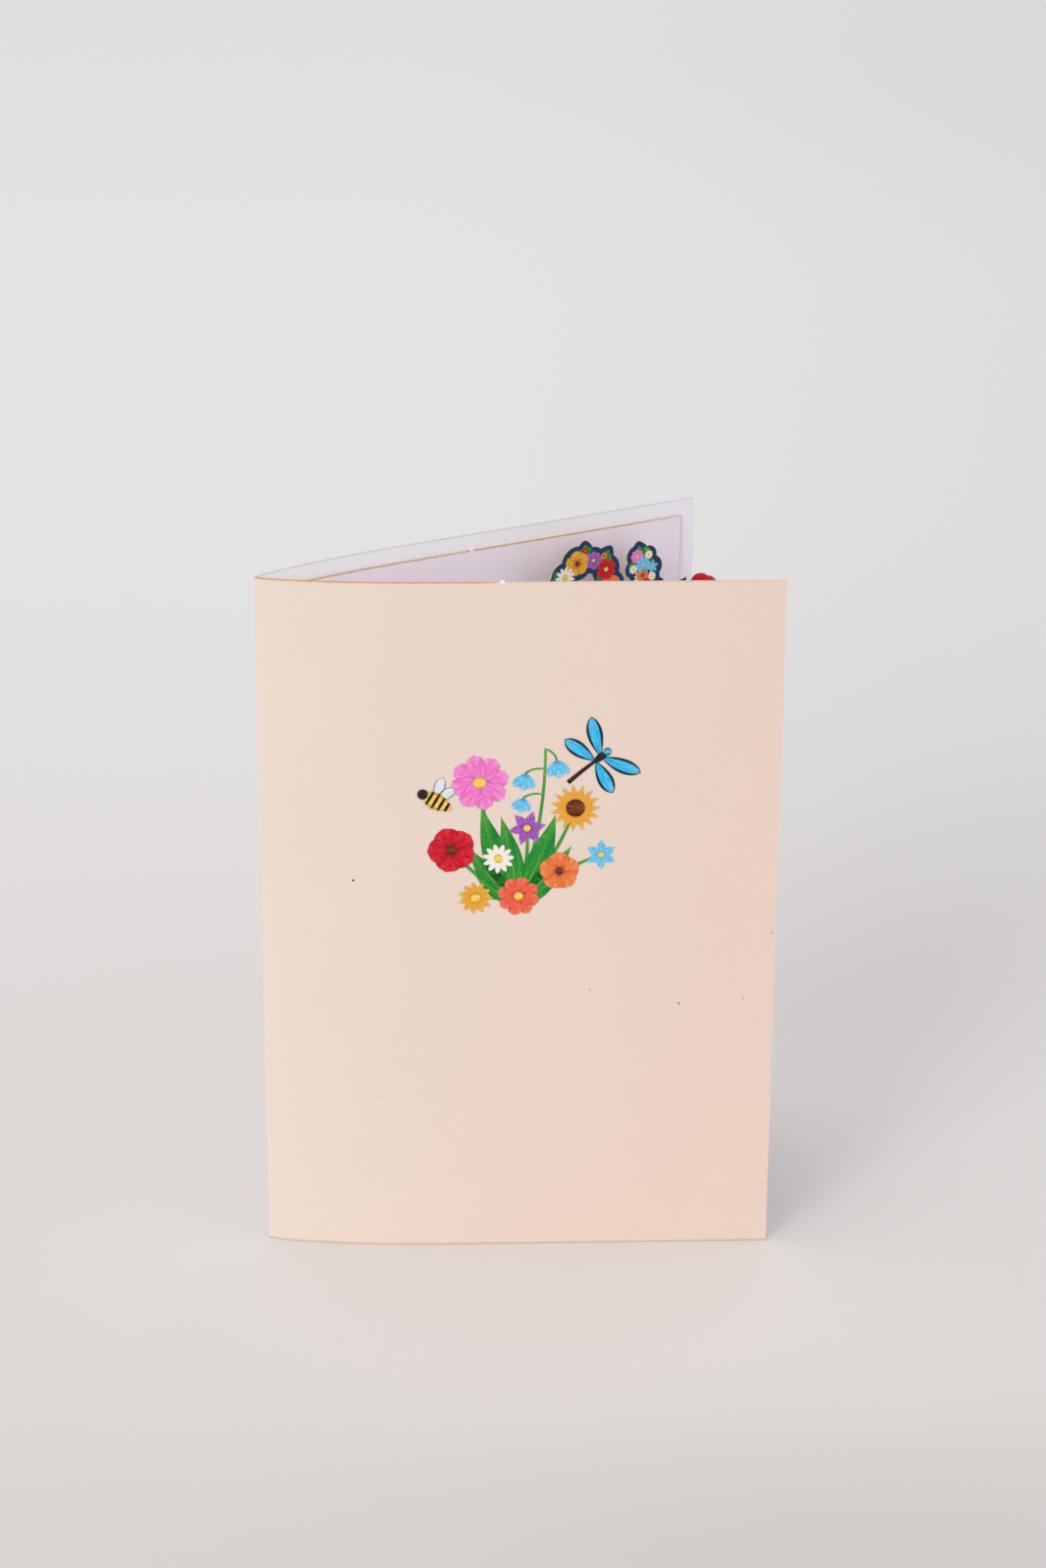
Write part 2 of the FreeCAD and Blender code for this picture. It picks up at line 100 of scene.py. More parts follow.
class Face(Enum):
    """Face of a sheet: towards the plane between the panels, or away from it."""
    INNER = -1
    OUTER = 1


class Surface(Protocol):
    """A printed face that turns flat coordinates into places in space."""

    def at(self, along: float, height: float, lift: float) -> Vector:
        """Place in metres of a flat point, lifted off the face."""


@dataclass(frozen=True)
class Arc:
    """Round stretch of a bowed panel: its radius, and its sweep in degrees."""
    radius: float
    sweep: float


@dataclass(frozen=True)
class CoverFace:
    """Outer or inner face of one bowed panel of the cover, measured from the crease.

    The panel follows its arcs from the crease and then runs straight.
    """
    side: Side
    face: Face
    thickness: float = 0.35
    crease_half_angle: float = 36.0
    arcs: tuple[Arc, ...] = (Arc(31.5, 12.75), Arc(220.0, 9.35))

    def at(self, along: float, height: float, lift: float) -> Vector:
        """Place in metres of a point at a station along the panel.

        Args:
            along: station along the cover's inner face, from the crease.
            height: height above the table.
            lift: distance off the face.

        Returns:
            The place in the frame of the part.
        """
        depth = lift if self.face is Face.INNER else -self.thickness - lift
        heading = math.radians(self.crease_half_angle)
        x, y, rest = self.thickness / 2, 0.0, along
        for arc in self.arcs:
            run = min(rest, arc.radius * math.radians(arc.sweep))
            after = heading - run / arc.radius
            x += arc.radius * (math.sin(heading) - math.sin(after))
            y += arc.radius * (math.cos(after) - math.cos(heading))
            heading = after
            rest -= run
        x += rest * math.cos(heading) + depth * math.sin(heading)
        y += rest * math.sin(heading) - depth * math.cos(heading)
        return Vector((x, self.side.value * y, height)) * MM


@dataclass(frozen=True)
class LayerFace:
    """Face of one flat half of a folded pop-up layer, measured from its fold."""
    side: Side
    face: Face
    fold: float
    half_angle: float = 13.9
    thickness: float = 0.25

    def at(self, along: float, height: float, lift: float) -> Vector:
        """Place in metres of a point at a reach from the fold.

        Args:
            along: reach from the fold.
            height: height above the table.
            lift: distance off the face.

        Returns:
            The place in the frame of the part.
        """
        depth = -lift if self.face is Face.OUTER else self.thickness + lift
        turn = math.radians(self.half_angle)
        x = self.fold + along * math.cos(turn) + depth * math.sin(turn)
        y = along * math.sin(turn) - depth * math.cos(turn)
        return Vector((x, self.side.value * y, height)) * MM


class Outline:
    """Cut outline of one half of a layer, probed on the frame's own sheet.

    The probed cells reach a little past the sheet on every side: SPARE cells, BEHIND cells past
    the fold, and a share SLANT for the half's angle to the X axis. Each probe starts ABOVE the
    face and goes DEPTH deep.
    """
    ABOVE = 1.0
    DEPTH = 1.2
    CELL = 0.55
    SPARE = 4
    BEHIND = 2
    SLANT = 1.05

    def __init__(self, node: str, surface: LayerFace) -> None:
        """Probe the sheet cell by cell, and note the room that each place has.

        Args:
            node: name of the layer in the frame.
            surface: face on which flat points are given.
        """
        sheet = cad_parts[node].data
        tree = BVHTree.FromPolygons([corner.co for corner in sheet.vertices],
                                    [tuple(face.vertices) for face in sheet.polygons])
        top = max(corner.co.z for corner in sheet.vertices) / MM
        reach = max(corner.co.x for corner in sheet.vertices) / MM - surface.fold
        rows, columns = (int(size / self.CELL) + self.SPARE for size in (top, self.SLANT * reach))
        cells = [(column * self.CELL, row * self.CELL)
                 for row in range(rows) for column in range(-self.BEHIND, columns)]
        paper = [self.covered(tree, surface, at) for at in cells]
        self.inside = [at for at, on_paper in zip(cells, paper) if on_paper]
        bare = [at for at, on_paper in zip(cells, paper) if not on_paper]
        self.bare = KDTree(len(bare))
        for number, at in enumerate(bare):
            self.bare.insert((*at, 0.0), number)
        self.bare.balance()

    def covered(self, tree: BVHTree, surface: LayerFace, at: Point) -> bool:
        """Whether the sheet has paper at a flat point, on the outer side of the fold.

        Args:
            tree: the sheet's faces.
            surface: face on which flat points are given.
            at: flat point.

        Returns:
            True where a probe through the face meets paper.
        """
        above, face = surface.at(*at, self.ABOVE), surface.at(*at, 0.0)
        hit = tree.ray_cast(above, (face - above).normalized(), self.DEPTH * MM)
        return at[0] > 0 and hit[0] is not None

    def room(self, at: Point) -> float:
        """Distance from a flat point to the edge of the paper."""
        return self.bare.find((*at, 0.0))[2] - self.CELL / 2


class Shader:
    """Short calls that add and join the nodes of one material or node group."""

    def __init__(self, tree: bpy.types.NodeTree) -> None:
        """Hold the node tree that the calls add to."""
        self.tree = tree

    def add(self, kind: str, inputs: dict | None = None, **settings) -> bpy.types.Node:
        """Add a node.

        Args:
            kind: node type.
            inputs: value or socket for each input, by name or index.
            settings: properties of the node.

        Returns:
            The new node.
        """
        node = self.tree.nodes.new(kind)
        for name, setting in settings.items():
            setattr(node, name, setting)
        for key, value in (inputs or {}).items():
            self.feed(node.inputs[key], value)
        return node

    def feed(self, socket: Socket, value: Value) -> None:
        """Join a socket to another one, or give it a plain value.

        Args:
            socket: input to feed.
            value: socket, number or colour.
        """
        if isinstance(value, Socket):
            self.tree.links.new(value, socket)
        elif socket.type == "RGBA":
            socket.default_value = (*value, 1.0)
        else:
            socket.default_value = value

    def math(self, operation: str, first: Value, second: Value = 0.0, third: Value = 0.0,
             clamp: bool = False) -> Socket:
        """Result of a math node."""
        inputs = {0: first, 1: second, 2: third}
        return self.add("ShaderNodeMath", inputs, operation=operation, use_clamp=clamp).outputs[0]

    def mix(self, factor: Value, first: Value, second: Value, blend: str = "MIX") -> Socket:
        """Colour between two colours."""
        inputs = {0: factor, 6: first, 7: second}
        return self.add("ShaderNodeMix", inputs, data_type="RGBA", blend_type=blend).outputs[2]

    def shade(self, colour: Value, tone: Value) -> Socket:
        """Colour made lighter or darker by a tone."""
        grey = self.add("ShaderNodeCombineColor", {0: tone, 1: tone, 2: tone}).outputs[0]
        return self.mix(1.0, colour, grey, "MULTIPLY")

    def ease(self, value: Value, low: Value, high: Value, kind: str = "SMOOTHSTEP") -> Socket:
        """Share of the way that a value has gone from low to high, kept within 0 and 1."""
        inputs = {"Value": value, "From Min": low, "From Max": high}
        return self.add("ShaderNodeMapRange", inputs, interpolation_type=kind).outputs["Result"]

    def band(self, distance: Value, low: float, high: float) -> Socket:
        """Share of the way that a distance has gone from low to high, both in millimetres."""
        return self.ease(distance, low * MM, high * MM)

    def rest(self, share: Value) -> Socket:
        """What a share leaves of the whole."""
        return self.math("SUBTRACT", 1.0, share)

    def place(self) -> Socket:
        """The part's own coordinates in metres."""
        return self.add("ShaderNodeTexCoord").outputs["Object"]

    def noise(self, vector: Value, scale: Value, detail: float = 2.0, roughness: float = 0.5) -> Socket:
        """Value of a noise texture."""
        inputs = {"Vector": vector, "Scale": scale, "Detail": detail, "Roughness": roughness}
        return self.add("ShaderNodeTexNoise", inputs).outputs[0]

    def stretch(self, vector: Value, scale: Sequence[float]) -> Socket:
        """Vector with each axis scaled."""
        return self.add("ShaderNodeMapping", {"Vector": vector, "Scale": scale}).outputs[0]

    def split(self, vector: Value) -> list[Socket]:
        """The three parts of a vector."""
        return list(self.add("ShaderNodeSeparateXYZ", {0: vector}).outputs)


def new_group(name: str, inputs: dict[str, float],
              outputs: Sequence[str]) -> tuple[Shader, bpy.types.Node, bpy.types.Node]:
    """Make an empty shader node group whose sockets are all numbers.

    Args:
        name: name of the group.
        inputs: default value by input name.
        outputs: names of the outputs.

    Returns:
        A shader on the group, its input node and its output node.
    """
    group = bpy.data.node_groups.new(name, "ShaderNodeTree")
    for label, value in inputs.items():
        socket = group.interface.new_socket(label, in_out="INPUT", socket_type="NodeSocketFloat")
        socket.default_value = value
    for label in outputs:
        group.interface.new_socket(label, in_out="OUTPUT", socket_type="NodeSocketFloat")
    s = Shader(group)
    return s, s.add("NodeGroupInput"), s.add("NodeGroupOutput")


class Effects:
    """Shader node groups that more than one material uses.

    Pairs of numbers are the values between which an effect comes in or goes out, except RAGGED,
    the factor and offset of the ragged width. Triples scale the grain along X, Y and Z.
    """
    CLOUD_SHARE = 0.6
    FIBRE_SHARE = 1.1
    RAGGED = (1.4, 0.3)
    SCORCH_FADE = (0.15, 1.0)
    LIGHT_STROKES = (0.45, 0.68)
    DARK_VEINS = (0.3, 0.44)
    THROAT_START = 0.02
    TIP_FADE = (0.55, 1.0)
    RIM_SOFTNESS = 0.12
    UPRIGHT = (1.0, 1.0, 0.25)
    LEVEL = (0.3, 0.3, 1.0)
    HANGING = (1.0, 1.0, 0.4)
    RAGGED_SCALE = 420.0
    DRIFT_SCALE = 900.0
    DRIFT_SHARE = 2.0
    STROKE_LENGTH = 1.3
    STROKE_SCALE = 1.5

    def __init__(self) -> None:
        """Build each group once."""
        self.fibre = self.make_fibre()
        self.scorch = self.make_scorch()
        self.brush = self.make_brush()

    def make_fibre(self) -> bpy.types.NodeTree:
        """Paper grain: a tone that drifts and a height of fine fibres.

        Returns:
            The node group.
        """
        s, given, out = new_group("paper_fibre", {"Grain": 2600.0, "Cloud": 60.0}, ("Tone", "Height"))
        place = s.place()
        cloud = s.noise(place, given.outputs["Cloud"], detail=4.0, roughness=0.6)
        upright = s.noise(s.stretch(place, self.UPRIGHT), given.outputs["Grain"])
        level = s.noise(s.stretch(place, self.LEVEL), given.outputs["Grain"])
        fibres = s.math("MULTIPLY", upright, level)
        clouds = s.math("MULTIPLY", cloud, self.CLOUD_SHARE)
        s.feed(out.inputs["Tone"], s.math("MULTIPLY_ADD", fibres, self.FIBRE_SHARE, clouds))
        s.feed(out.inputs["Height"], fibres)
        return s.tree

    def make_scorch(self) -> bpy.types.NodeTree:
        """Browning along a cut edge: strongest on the edge, ragged where it fades.

        Returns:
            The node group.
        """
        s, given, out = new_group("scorched_edge", {"Distance": 0.0, "Width": 0.0004}, ("Mask",))
        place = s.place()
        ragged = s.noise(s.stretch(place, self.HANGING), self.RAGGED_SCALE, detail=3.0, roughness=0.6)
        reach = s.math("MULTIPLY", given.outputs["Width"], s.math("MULTIPLY_ADD", ragged, *self.RAGGED))
        share = s.math("DIVIDE", given.outputs["Distance"], reach)
        s.feed(out.inputs["Mask"], s.rest(s.ease(share, *self.SCORCH_FADE)))
        return s.tree

    def make_brush(self) -> bpy.types.NodeTree:
        """Painted petal: light strokes, dark veins, a dark throat, a light tip and a border.

        Returns:
            The node group.
        """
        s, given, out = new_group("brush_strokes", {"Streaks": 9.0, "Throat": 0.35, "Border": 0.85},
                                  ("Streak", "Vein", "Throat", "Tip", "Rim"))
        border = given.outputs["Border"]
        along, across, _ = s.split(s.add("ShaderNodeUVMap", uv_map="petal").outputs[0])
        drift = s.noise(s.place(), self.DRIFT_SCALE)
        spread = s.math("MULTIPLY", across, given.outputs["Streaks"])
        lines = s.add("ShaderNodeCombineXYZ", {0: s.math("MULTIPLY", along, self.STROKE_LENGTH),
                                               1: spread,
                                               2: s.math("MULTIPLY", drift, self.DRIFT_SHARE)})
        stroke = s.noise(lines.outputs[0], self.STROKE_SCALE, detail=3.0, roughness=0.65)
        rim = s.add("ShaderNodeAttribute", attribute_name="rim").outputs["Fac"]
        throat = s.ease(along, self.THROAT_START, given.outputs["Throat"])
        s.feed(out.inputs["Streak"], s.ease(stroke, *self.LIGHT_STROKES))
        s.feed(out.inputs["Vein"], s.rest(s.ease(stroke, *self.DARK_VEINS)))
        s.feed(out.inputs["Throat"], s.rest(throat))
        s.feed(out.inputs["Tip"], s.ease(along, *self.TIP_FADE))
        s.feed(out.inputs["Rim"], s.ease(rim, border, s.math("ADD", border, self.RIM_SOFTNESS)))
        return s.tree


@dataclass(frozen=True, kw_only=True)
class Finish:
    """Base of every finish: makes a material around one Principled shader."""
    name: str
    roughness: float = 0.85
    specular: float = 0.2

    def make(self, effects: Effects) -> bpy.types.Material:
        """Build the material.

        Args:
            effects: shader groups that the finishes share.

        Returns:
            The new material.
        """
        material = bpy.data.materials.new(self.name)
        material.use_nodes = True
        material.node_tree.nodes.clear()
        s = Shader(material.node_tree)
        surface = {"Roughness": self.roughness, "Specular IOR Level": self.specular}
        body = s.add("ShaderNodeBsdfPrincipled", surface)
        s.add("ShaderNodeOutputMaterial", {"Surface": body.outputs[0]})
        self.dress(s, body, effects)
        return material

    def dress(self, s: Shader, body: bpy.types.Node, effects: Effects) -> None:
        """Feed colour and normal of the Principled shader."""
        raise NotImplementedError


@dataclass(frozen=True, kw_only=True)
class GrainedFinish(Finish):
    """Paper with a faint drift of tone and a fine relief of fibres, in metres."""
    tint: float = 0.05
    relief: float = 0.00002
    MEAN_TONE = 0.55
    BUMP = 0.6

    def grain(self, s: Shader, body: bpy.types.Node, effects: Effects, colour: Value) -> None:
        """Give a paper its grain.

        Args:
            s: shader of the material.
            body: Principled shader.
            effects: shader groups that the finishes share.
            colour: colour without the grain.
        """
        fibre = s.add("ShaderNodeGroup", None, node_tree=effects.fibre)
        drift = s.math("SUBTRACT", fibre.outputs["Tone"], self.MEAN_TONE)
        tone = s.math("MULTIPLY_ADD", drift, self.tint, 1.0)
        s.feed(body.inputs["Base Color"], s.shade(colour, tone))
        height = {"Height": fibre.outputs["Height"], "Distance": self.relief, "Strength": self.BUMP}
        s.feed(body.inputs["Normal"], s.add("ShaderNodeBump", height).outputs[0])


@dataclass(frozen=True)
class Burn:
    """Tint along the upper cut edge of a half, brown but grey on the cover's back: strength up to the
    stub and beyond.
    """
    tint: Colour
    strength: float
    beyond: float
    stub: float


@dataclass(frozen=True)
class ShadeLine:
    """Thin darker line painted along one edge of a face as painted shade."""
    tint: Colour
    strength: float


@dataclass(frozen=True, kw_only=True)
class SheetFinish(GrainedFinish):
    """Cut sheet that tells its outer face, inner face and cut edges apart.

    Its inner face darkens towards the free edge as painted shade, and can carry a painted shadow
    line along that edge; a painted contact shadow runs along its foot. Pairs are the distances, or
    shares of the reach, between which something comes in.
    """
    outer_near: Colour
    outer_far: Colour
    inner: Colour
    # inner face's colour at the free edge, darker and more violet: painted shade
    inner_shaded_far: Colour
    front: Burn
    back: Burn
    top: float
    reach: float
    # painted shadow line on the inner face along the free edge
    free_edge_shadow: ShadeLine | None = None
    # painted contact shadow along the foot, with the brown of the cut edge
    foot: ShadeLine = ShadeLine(srgb(168, 132, 108), 0.45)
    core: Colour = srgb(214, 200, 188)
    bare_stub: Colour = srgb(252, 248, 247)
    inner_shade_turn: float = 0.76
    burn_width: float = 0.5
    burn_fade: float = 16.0
    burn_at_end: float = 0.45
    line_width: float = 0.3
    shadow_line_softness: float = 0.1
    foot_shade_rise: tuple[float, float] = (0.6, 0.2)
    stub_approach: float = 3.5
    stub_half: float = 0.5
    stub_softness: float = 0.12
    stub_drop: tuple[float, float] = (0.45, 0.3)
    FLAT_CUT = 0.5
    END_CUT = 0.85
    INWARD = -0.5
    OUTER_TURN = (0.05, 0.95)
    DRIFT_SCALE = 9.0
    DRIFT_SHARE = 0.5

    def dress(self, s: Shader, body: bpy.types.Node, effects: Effects) -> None:
        """Colour each face by its normal, with painted shade towards the free edge and along the foot,
        and brown the upper cut edge.

        Args:
            s: shader of the material.
            body: Principled shader.
            effects: shader groups that the finishes share.
        """
        place = s.place()
        x, y, z = s.split(place)
        normal_x, normal_y, normal_z = s.split(s.add("ShaderNodeNewGeometry").outputs["True Normal"])
        facing = s.math("MULTIPLY", normal_y, s.math("SIGN", y))
        flat_cut = s.math("GREATER_THAN", s.math("ABSOLUTE", normal_z), self.FLAT_CUT)
        cut = s.math("MAXIMUM", flat_cut, s.math("GREATER_THAN", normal_x, self.END_CUT))
        inside = s.math("LESS_THAN", facing, self.INWARD)
        drift = s.math("MULTIPLY_ADD", s.noise(place, self.DRIFT_SCALE), self.DRIFT_SHARE,
                       -self.DRIFT_SHARE / 2)
        share = s.math("ADD", s.math("DIVIDE", x, self.reach * MM), drift)
        outer = s.mix(s.ease(share, *self.OUTER_TURN, kind="LINEAR"), self.outer_near, self.outer_far)
        # painted shade: the inner face darkens and turns more violet towards the free edge
        inner = s.mix(s.band(x, self.inner_shade_turn * self.reach, self.reach), self.inner, self.inner_shaded_far)
        colour = s.mix(inside, outer, inner)
        # painted shadow: a thin darker line on the inner face along its free edge
        if self.free_edge_shadow:
            start = self.reach - self.line_width
            near_free = s.math("MULTIPLY", s.band(x, start - self.shadow_line_softness, start), inside)
            line = s.math("MULTIPLY", near_free, self.free_edge_shadow.strength)
            colour = s.mix(line, colour, self.free_edge_shadow.tint)
        # painted contact shadow: a thin brown-grey line along the foot
        low = s.math("MULTIPLY", s.band(z, *self.foot_shade_rise), self.foot.strength)
        colour = s.mix(low, colour, self.foot.tint)
        colour = s.mix(cut, colour, self.core)
        distance = s.math("SUBTRACT", self.top * MM, z)
        scorch = s.add("ShaderNodeGroup", {"Distance": distance, "Width": self.burn_width * MM},
                       node_tree=effects.scorch)
        fading = s.band(x, self.reach - self.burn_fade, self.reach)
        left = s.math("MULTIPLY_ADD", fading, self.burn_at_end - 1.0, 1.0)
        mask = s.math("MULTIPLY", scorch.outputs["Mask"], left)
        at_back = s.math("GREATER_THAN", y, 0.0)
        for half, burn in ((s.rest(at_back), self.front), (at_back, self.back)):
            colour = self.brown(s, burn, colour, s.math("MULTIPLY", mask, half), distance, x)
        self.grain(s, body, effects, colour)

    def brown(self, s: Shader, burn: Burn, colour: Socket, amount: Socket, distance: Socket,
              x: Socket) -> Socket:
        """Brown the upper edge of one half and leave its stub bare.

        Args:
            s: shader of the material.
            burn: browning of the half.
            colour: colour before the browning.
            amount: where the edge is browned.
            distance: how far the place lies below the upper edge.
            x: distance from the crease along the part's own X axis.

        Returns:
            Colour after the browning.
        """
        past = s.band(x, burn.stub - self.stub_approach, burn.stub - self.stub_half)
        strength = s.math("MULTIPLY_ADD", past, burn.beyond - burn.strength, burn.strength)
        browned = s.mix(s.math("MULTIPLY", amount, strength), colour, burn.tint)
        aside = s.math("ABSOLUTE", s.math("SUBTRACT", x, burn.stub * MM))
        across = s.band(aside, self.stub_half + self.stub_softness, self.stub_half)
        stub = s.math("MULTIPLY", across, s.band(distance, *self.stub_drop))
        lit = s.math("MULTIPLY", stub, s.math("GREATER_THAN", amount, 0.0))
        return s.mix(lit, browned, self.bare_stub)


@dataclass(frozen=True, kw_only=True)
class PaperFinish(GrainedFinish):
    """Pop-up paper of one colour, with lighter cut edges."""
    colour: Colour
    core: Colour = srgb(205, 178, 150)
    tint: float = 0.1
    relief: float = 0.00001
    CUT = 0.5

    def dress(self, s: Shader, body: bpy.types.Node, effects: Effects) -> None:
        """Colour the printed faces and leave the cut edges bare.

        Args:
            s: shader of the material.
            body: Principled shader.
            effects: shader groups that the finishes share.
        """
        across = s.split(s.add("ShaderNodeNewGeometry").outputs["True Normal"])[1]
        cut = s.math("LESS_THAN", s.math("ABSOLUTE", across), self.CUT)
        self.grain(s, body, effects, s.mix(cut, self.colour, self.core))


@dataclass(frozen=True)
class Paint:
    """Tones of an ink, and how strong, long and fine its strokes are.

    The rim is a strength. The throat ends at a share of the petal's length, and the border starts
    at a share of the way from the petal's middle to its outline.
    """
    body: Colour
    deep: Colour
    light: Colour
    rim: float = 0.4
    throat: float = 0.35
    streaks: float = 6.0
    border: float = 0.86


@dataclass(frozen=True, kw_only=True)
class InkFinish(Finish):
    """Printed and painted-looking ink: streaked body, dark throat, light tip and a rim.

    Its numbers are the strengths of the strokes.
    """
    paint: Paint
    roughness: float = 0.7
    tip: float = 0.35
    streak: float = 0.75
    vein: float = 0.5
    throat: float = 0.85

    def dress(self, s: Shader, body: bpy.types.Node, effects: Effects) -> None:
        """Mix the ink's tones by the strokes of the brush.

        Args:
            s: shader of the material.
            body: Principled shader.
            effects: shader groups that the finishes share.
        """
        paint = self.paint
        petal = {"Streaks": paint.streaks, "Throat": paint.throat, "Border": paint.border}
        brush = s.add("ShaderNodeGroup", petal, node_tree=effects.brush)
        colour = paint.body
        strokes = (("Tip", self.tip, paint.light), ("Streak", self.streak, paint.light),
                   ("Vein", self.vein, paint.deep), ("Throat", self.throat, paint.deep),
                   ("Rim", paint.rim, paint.deep))
        for stroke, share, tone in strokes:
            colour = s.mix(s.math("MULTIPLY", brush.outputs[stroke], share), colour, tone)
        s.feed(body.inputs["Base Color"], colour)


@dataclass(frozen=True, kw_only=True)
class FloorFinish(Finish):
    """Pale floor with painted light: painted shade to the right, far off and close by, and a painted
    pool of light round the card.

    Its colour also goes from darker and warmer close by to lighter far off, a painted light
    gradient. Depth runs away from the camera along its azimuth, from the crease. The painted side
    shade widens like a fan from the camera's own foot. Pairs are the distances, and for the fan the
    slopes, between which a shade comes in.
    """
    azimuth: float
    roughness: float = 0.8
    specular: float = 0.1
    # colours close by and far off: a painted light gradient, darker and warmer close by
    near: Colour = srgb(222, 218, 215)
    far: Colour = srgb(229, 227, 227)
    middle: Point = (70.0, 0.0)
    camera_back: float = 820.0
    nearest: float = 300.0
    fan: tuple[float, float] = (-0.02, 0.22)
    depth_turn: tuple[float, float] = (-100.0, 700.0)
    side_shade_behind: tuple[float, float] = (20.0, 300.0)
    side_shade_before: tuple[float, float] = (-60.0, -140.0)
    far_shade_range: tuple[float, float] = (950.0, 1800.0)
    close_shade_range: tuple[float, float] = (-60.0, -170.0)
    round_card: tuple[float, float] = (170.0, 50.0)
    # tones of the painted shade to the side, far off and close by, and of the painted pool of light
    # round the card
    side_tone: float = 0.93
    far_shade_tone: float = 0.955
    close_shade_tone: float = 0.94
    card_tone: float = 1.06

    def dress(self, s: Shader, body: bpy.types.Node, effects: Effects) -> None:
        """Paint shade and light onto the floor by depth, side and distance from the card.

        Args:
            s: shader of the material.
            body: Principled shader.
            effects: shader groups that the finishes share; the floor needs none.
        """
        place = s.place()
        turn = {"Vector": place, "Angle": math.radians(self.azimuth)}
        turned = s.add("ShaderNodeVectorRotate", turn, rotation_type="Z_AXIS").outputs[0]
        right, depth, _ = s.split(turned)
        from_camera = s.math("MAXIMUM", s.math("ADD", depth, self.camera_back * MM), self.nearest * MM)
        fan = s.ease(s.math("DIVIDE", right, from_camera), *self.fan)
        behind, before = s.band(depth, *self.side_shade_behind), s.band(depth, *self.side_shade_before)
        aside = s.math("ADD", behind, before, clamp=True)
        middle = (self.middle[0] * MM, self.middle[1] * MM, 0.0)
        around = s.add("ShaderNodeVectorMath", {0: place, 1: middle}, operation="DISTANCE")
        # painted light gradient from close by to far off
        colour = s.mix(s.band(depth, *self.depth_turn), self.near, self.far)
        # painted shade to the right, far off and close by, then a painted pool of light round the card
        for share, tone in ((s.math("MULTIPLY", fan, aside), self.side_tone),
                            (s.band(depth, *self.far_shade_range), self.far_shade_tone),
                            (s.band(depth, *self.close_shade_range), self.close_shade_tone),
                            (s.band(around.outputs["Value"], *self.round_card), self.card_tone)):
            colour = s.shade(colour, s.math("MULTIPLY_ADD", share, tone - 1.0, 1.0))
        s.feed(body.inputs["Base Color"], colour)


class Ink(Enum):
    """Inks of the prints."""
    PINK = Paint(srgb(244, 118, 200), srgb(206, 62, 158), srgb(255, 178, 230), 0.45, 0.3)
    GOLD = Paint(srgb(238, 166, 46), srgb(150, 70, 20), srgb(252, 204, 96), 0.4, 0.5)
    RED = Paint(srgb(204, 16, 40), srgb(112, 2, 22), srgb(236, 66, 72), 0.45, 0.45)
    CORAL = Paint(srgb(240, 92, 66), srgb(186, 34, 44), srgb(252, 148, 110), 0.4, 0.4)
    ORANGE = Paint(srgb(238, 118, 58), srgb(170, 50, 30), srgb(252, 172, 112), 0.4, 0.45)
    PURPLE = Paint(srgb(160, 78, 186), srgb(90, 26, 122), srgb(208, 144, 226), 0.45, 0.4, 6.0, 0.84)
    BLUE = Paint(srgb(92, 196, 240), srgb(26, 118, 200), srgb(190, 234, 252), 0.4, 0.35, 5.0)
    WHITE = Paint(srgb(250, 243, 234), srgb(226, 186, 150), srgb(255, 253, 250), 0.3, 0.35, 5.0, 0.88)
    LEAF = Paint(srgb(30, 140, 52), srgb(10, 88, 40), srgb(92, 178, 62), 0.35, 0.3, 4.0)
    DUSK = Paint(srgb(38, 60, 30), srgb(22, 36, 20), srgb(54, 80, 36), 0.4, 0.3, 4.0, 0.84)
    STEM = Paint(srgb(74, 156, 58), srgb(28, 104, 44), srgb(146, 204, 92), 0.4, 0.05, 2.0, 0.7)
    YOLK = Paint(srgb(246, 212, 84), srgb(208, 132, 36), srgb(255, 238, 150), 0.6, 0.05, 8.0, 0.6)
    SEED = Paint(srgb(104, 46, 26), srgb(48, 16, 16), srgb(168, 96, 50), 0.6, 0.05, 10.0, 0.55)
    WING = Paint(srgb(34, 182, 238), srgb(12, 16, 30), srgb(128, 220, 250), 0.97, 0.12, 9.0, 0.6)
    VEIL = Paint(srgb(222, 232, 240), srgb(86, 74, 66), srgb(250, 252, 255), 0.9, 0.1, 8.0, 0.8)
    JET = Paint(srgb(34, 26, 26), srgb(12, 10, 12), srgb(84, 66, 60), 0.2, 0.1, 4.0, 0.8)
    SPECK = Paint(srgb(120, 104, 92), srgb(86, 74, 66), srgb(150, 132, 118), 0.0, 0.0, 4.0, 0.9)


class Tip(Enum):
    """How a petal or leaf ends."""
    ROUND = "round"
    POINTED = "pointed"
    LENS = "lens"
    SQUARE = "square"

    def width_at(self, share: float) -> float:
        """Share of the full width at a share of the length.

        Args:
            share: how far along the petal, from 0 to 1.

        Returns:
            The width, from 0 to 1.
        """
        if self is Tip.POINTED:
            return math.sin(math.pi * share ** 0.8) ** 1.1
        if self is Tip.LENS:
            return 1 - (2 * share - 1) ** 2
        if self is Tip.SQUARE:
            return min(1.0, 3.2 * share + 0.12) * (1 - share ** 9) ** 0.5
        return math.sin(math.pi * share ** 1.35) ** 0.62


class Kind(Enum):
    """Kinds of bloom: petals, their width, tip, centre and ink of the centre."""
    DAISY = (11, 0.34, Tip.ROUND, 0.3, Ink.YOLK)
    COSMOS = (8, 0.62, Tip.SQUARE, 0.22, Ink.YOLK)
    POPPY = (5, 1.05, Tip.ROUND, 0.2, Ink.SEED)
    SUN = (15, 0.3, Tip.POINTED, 0.38, Ink.SEED)
    STAR = (6, 0.52, Tip.POINTED, 0.2, Ink.YOLK)


@dataclass(frozen=True)
class Bloom:
    """One flower head: its kind, ink, place, radius and turn in degrees."""
    kind: Kind
    ink: Ink
    at: Point
    radius: float
    turn: float = 0.0


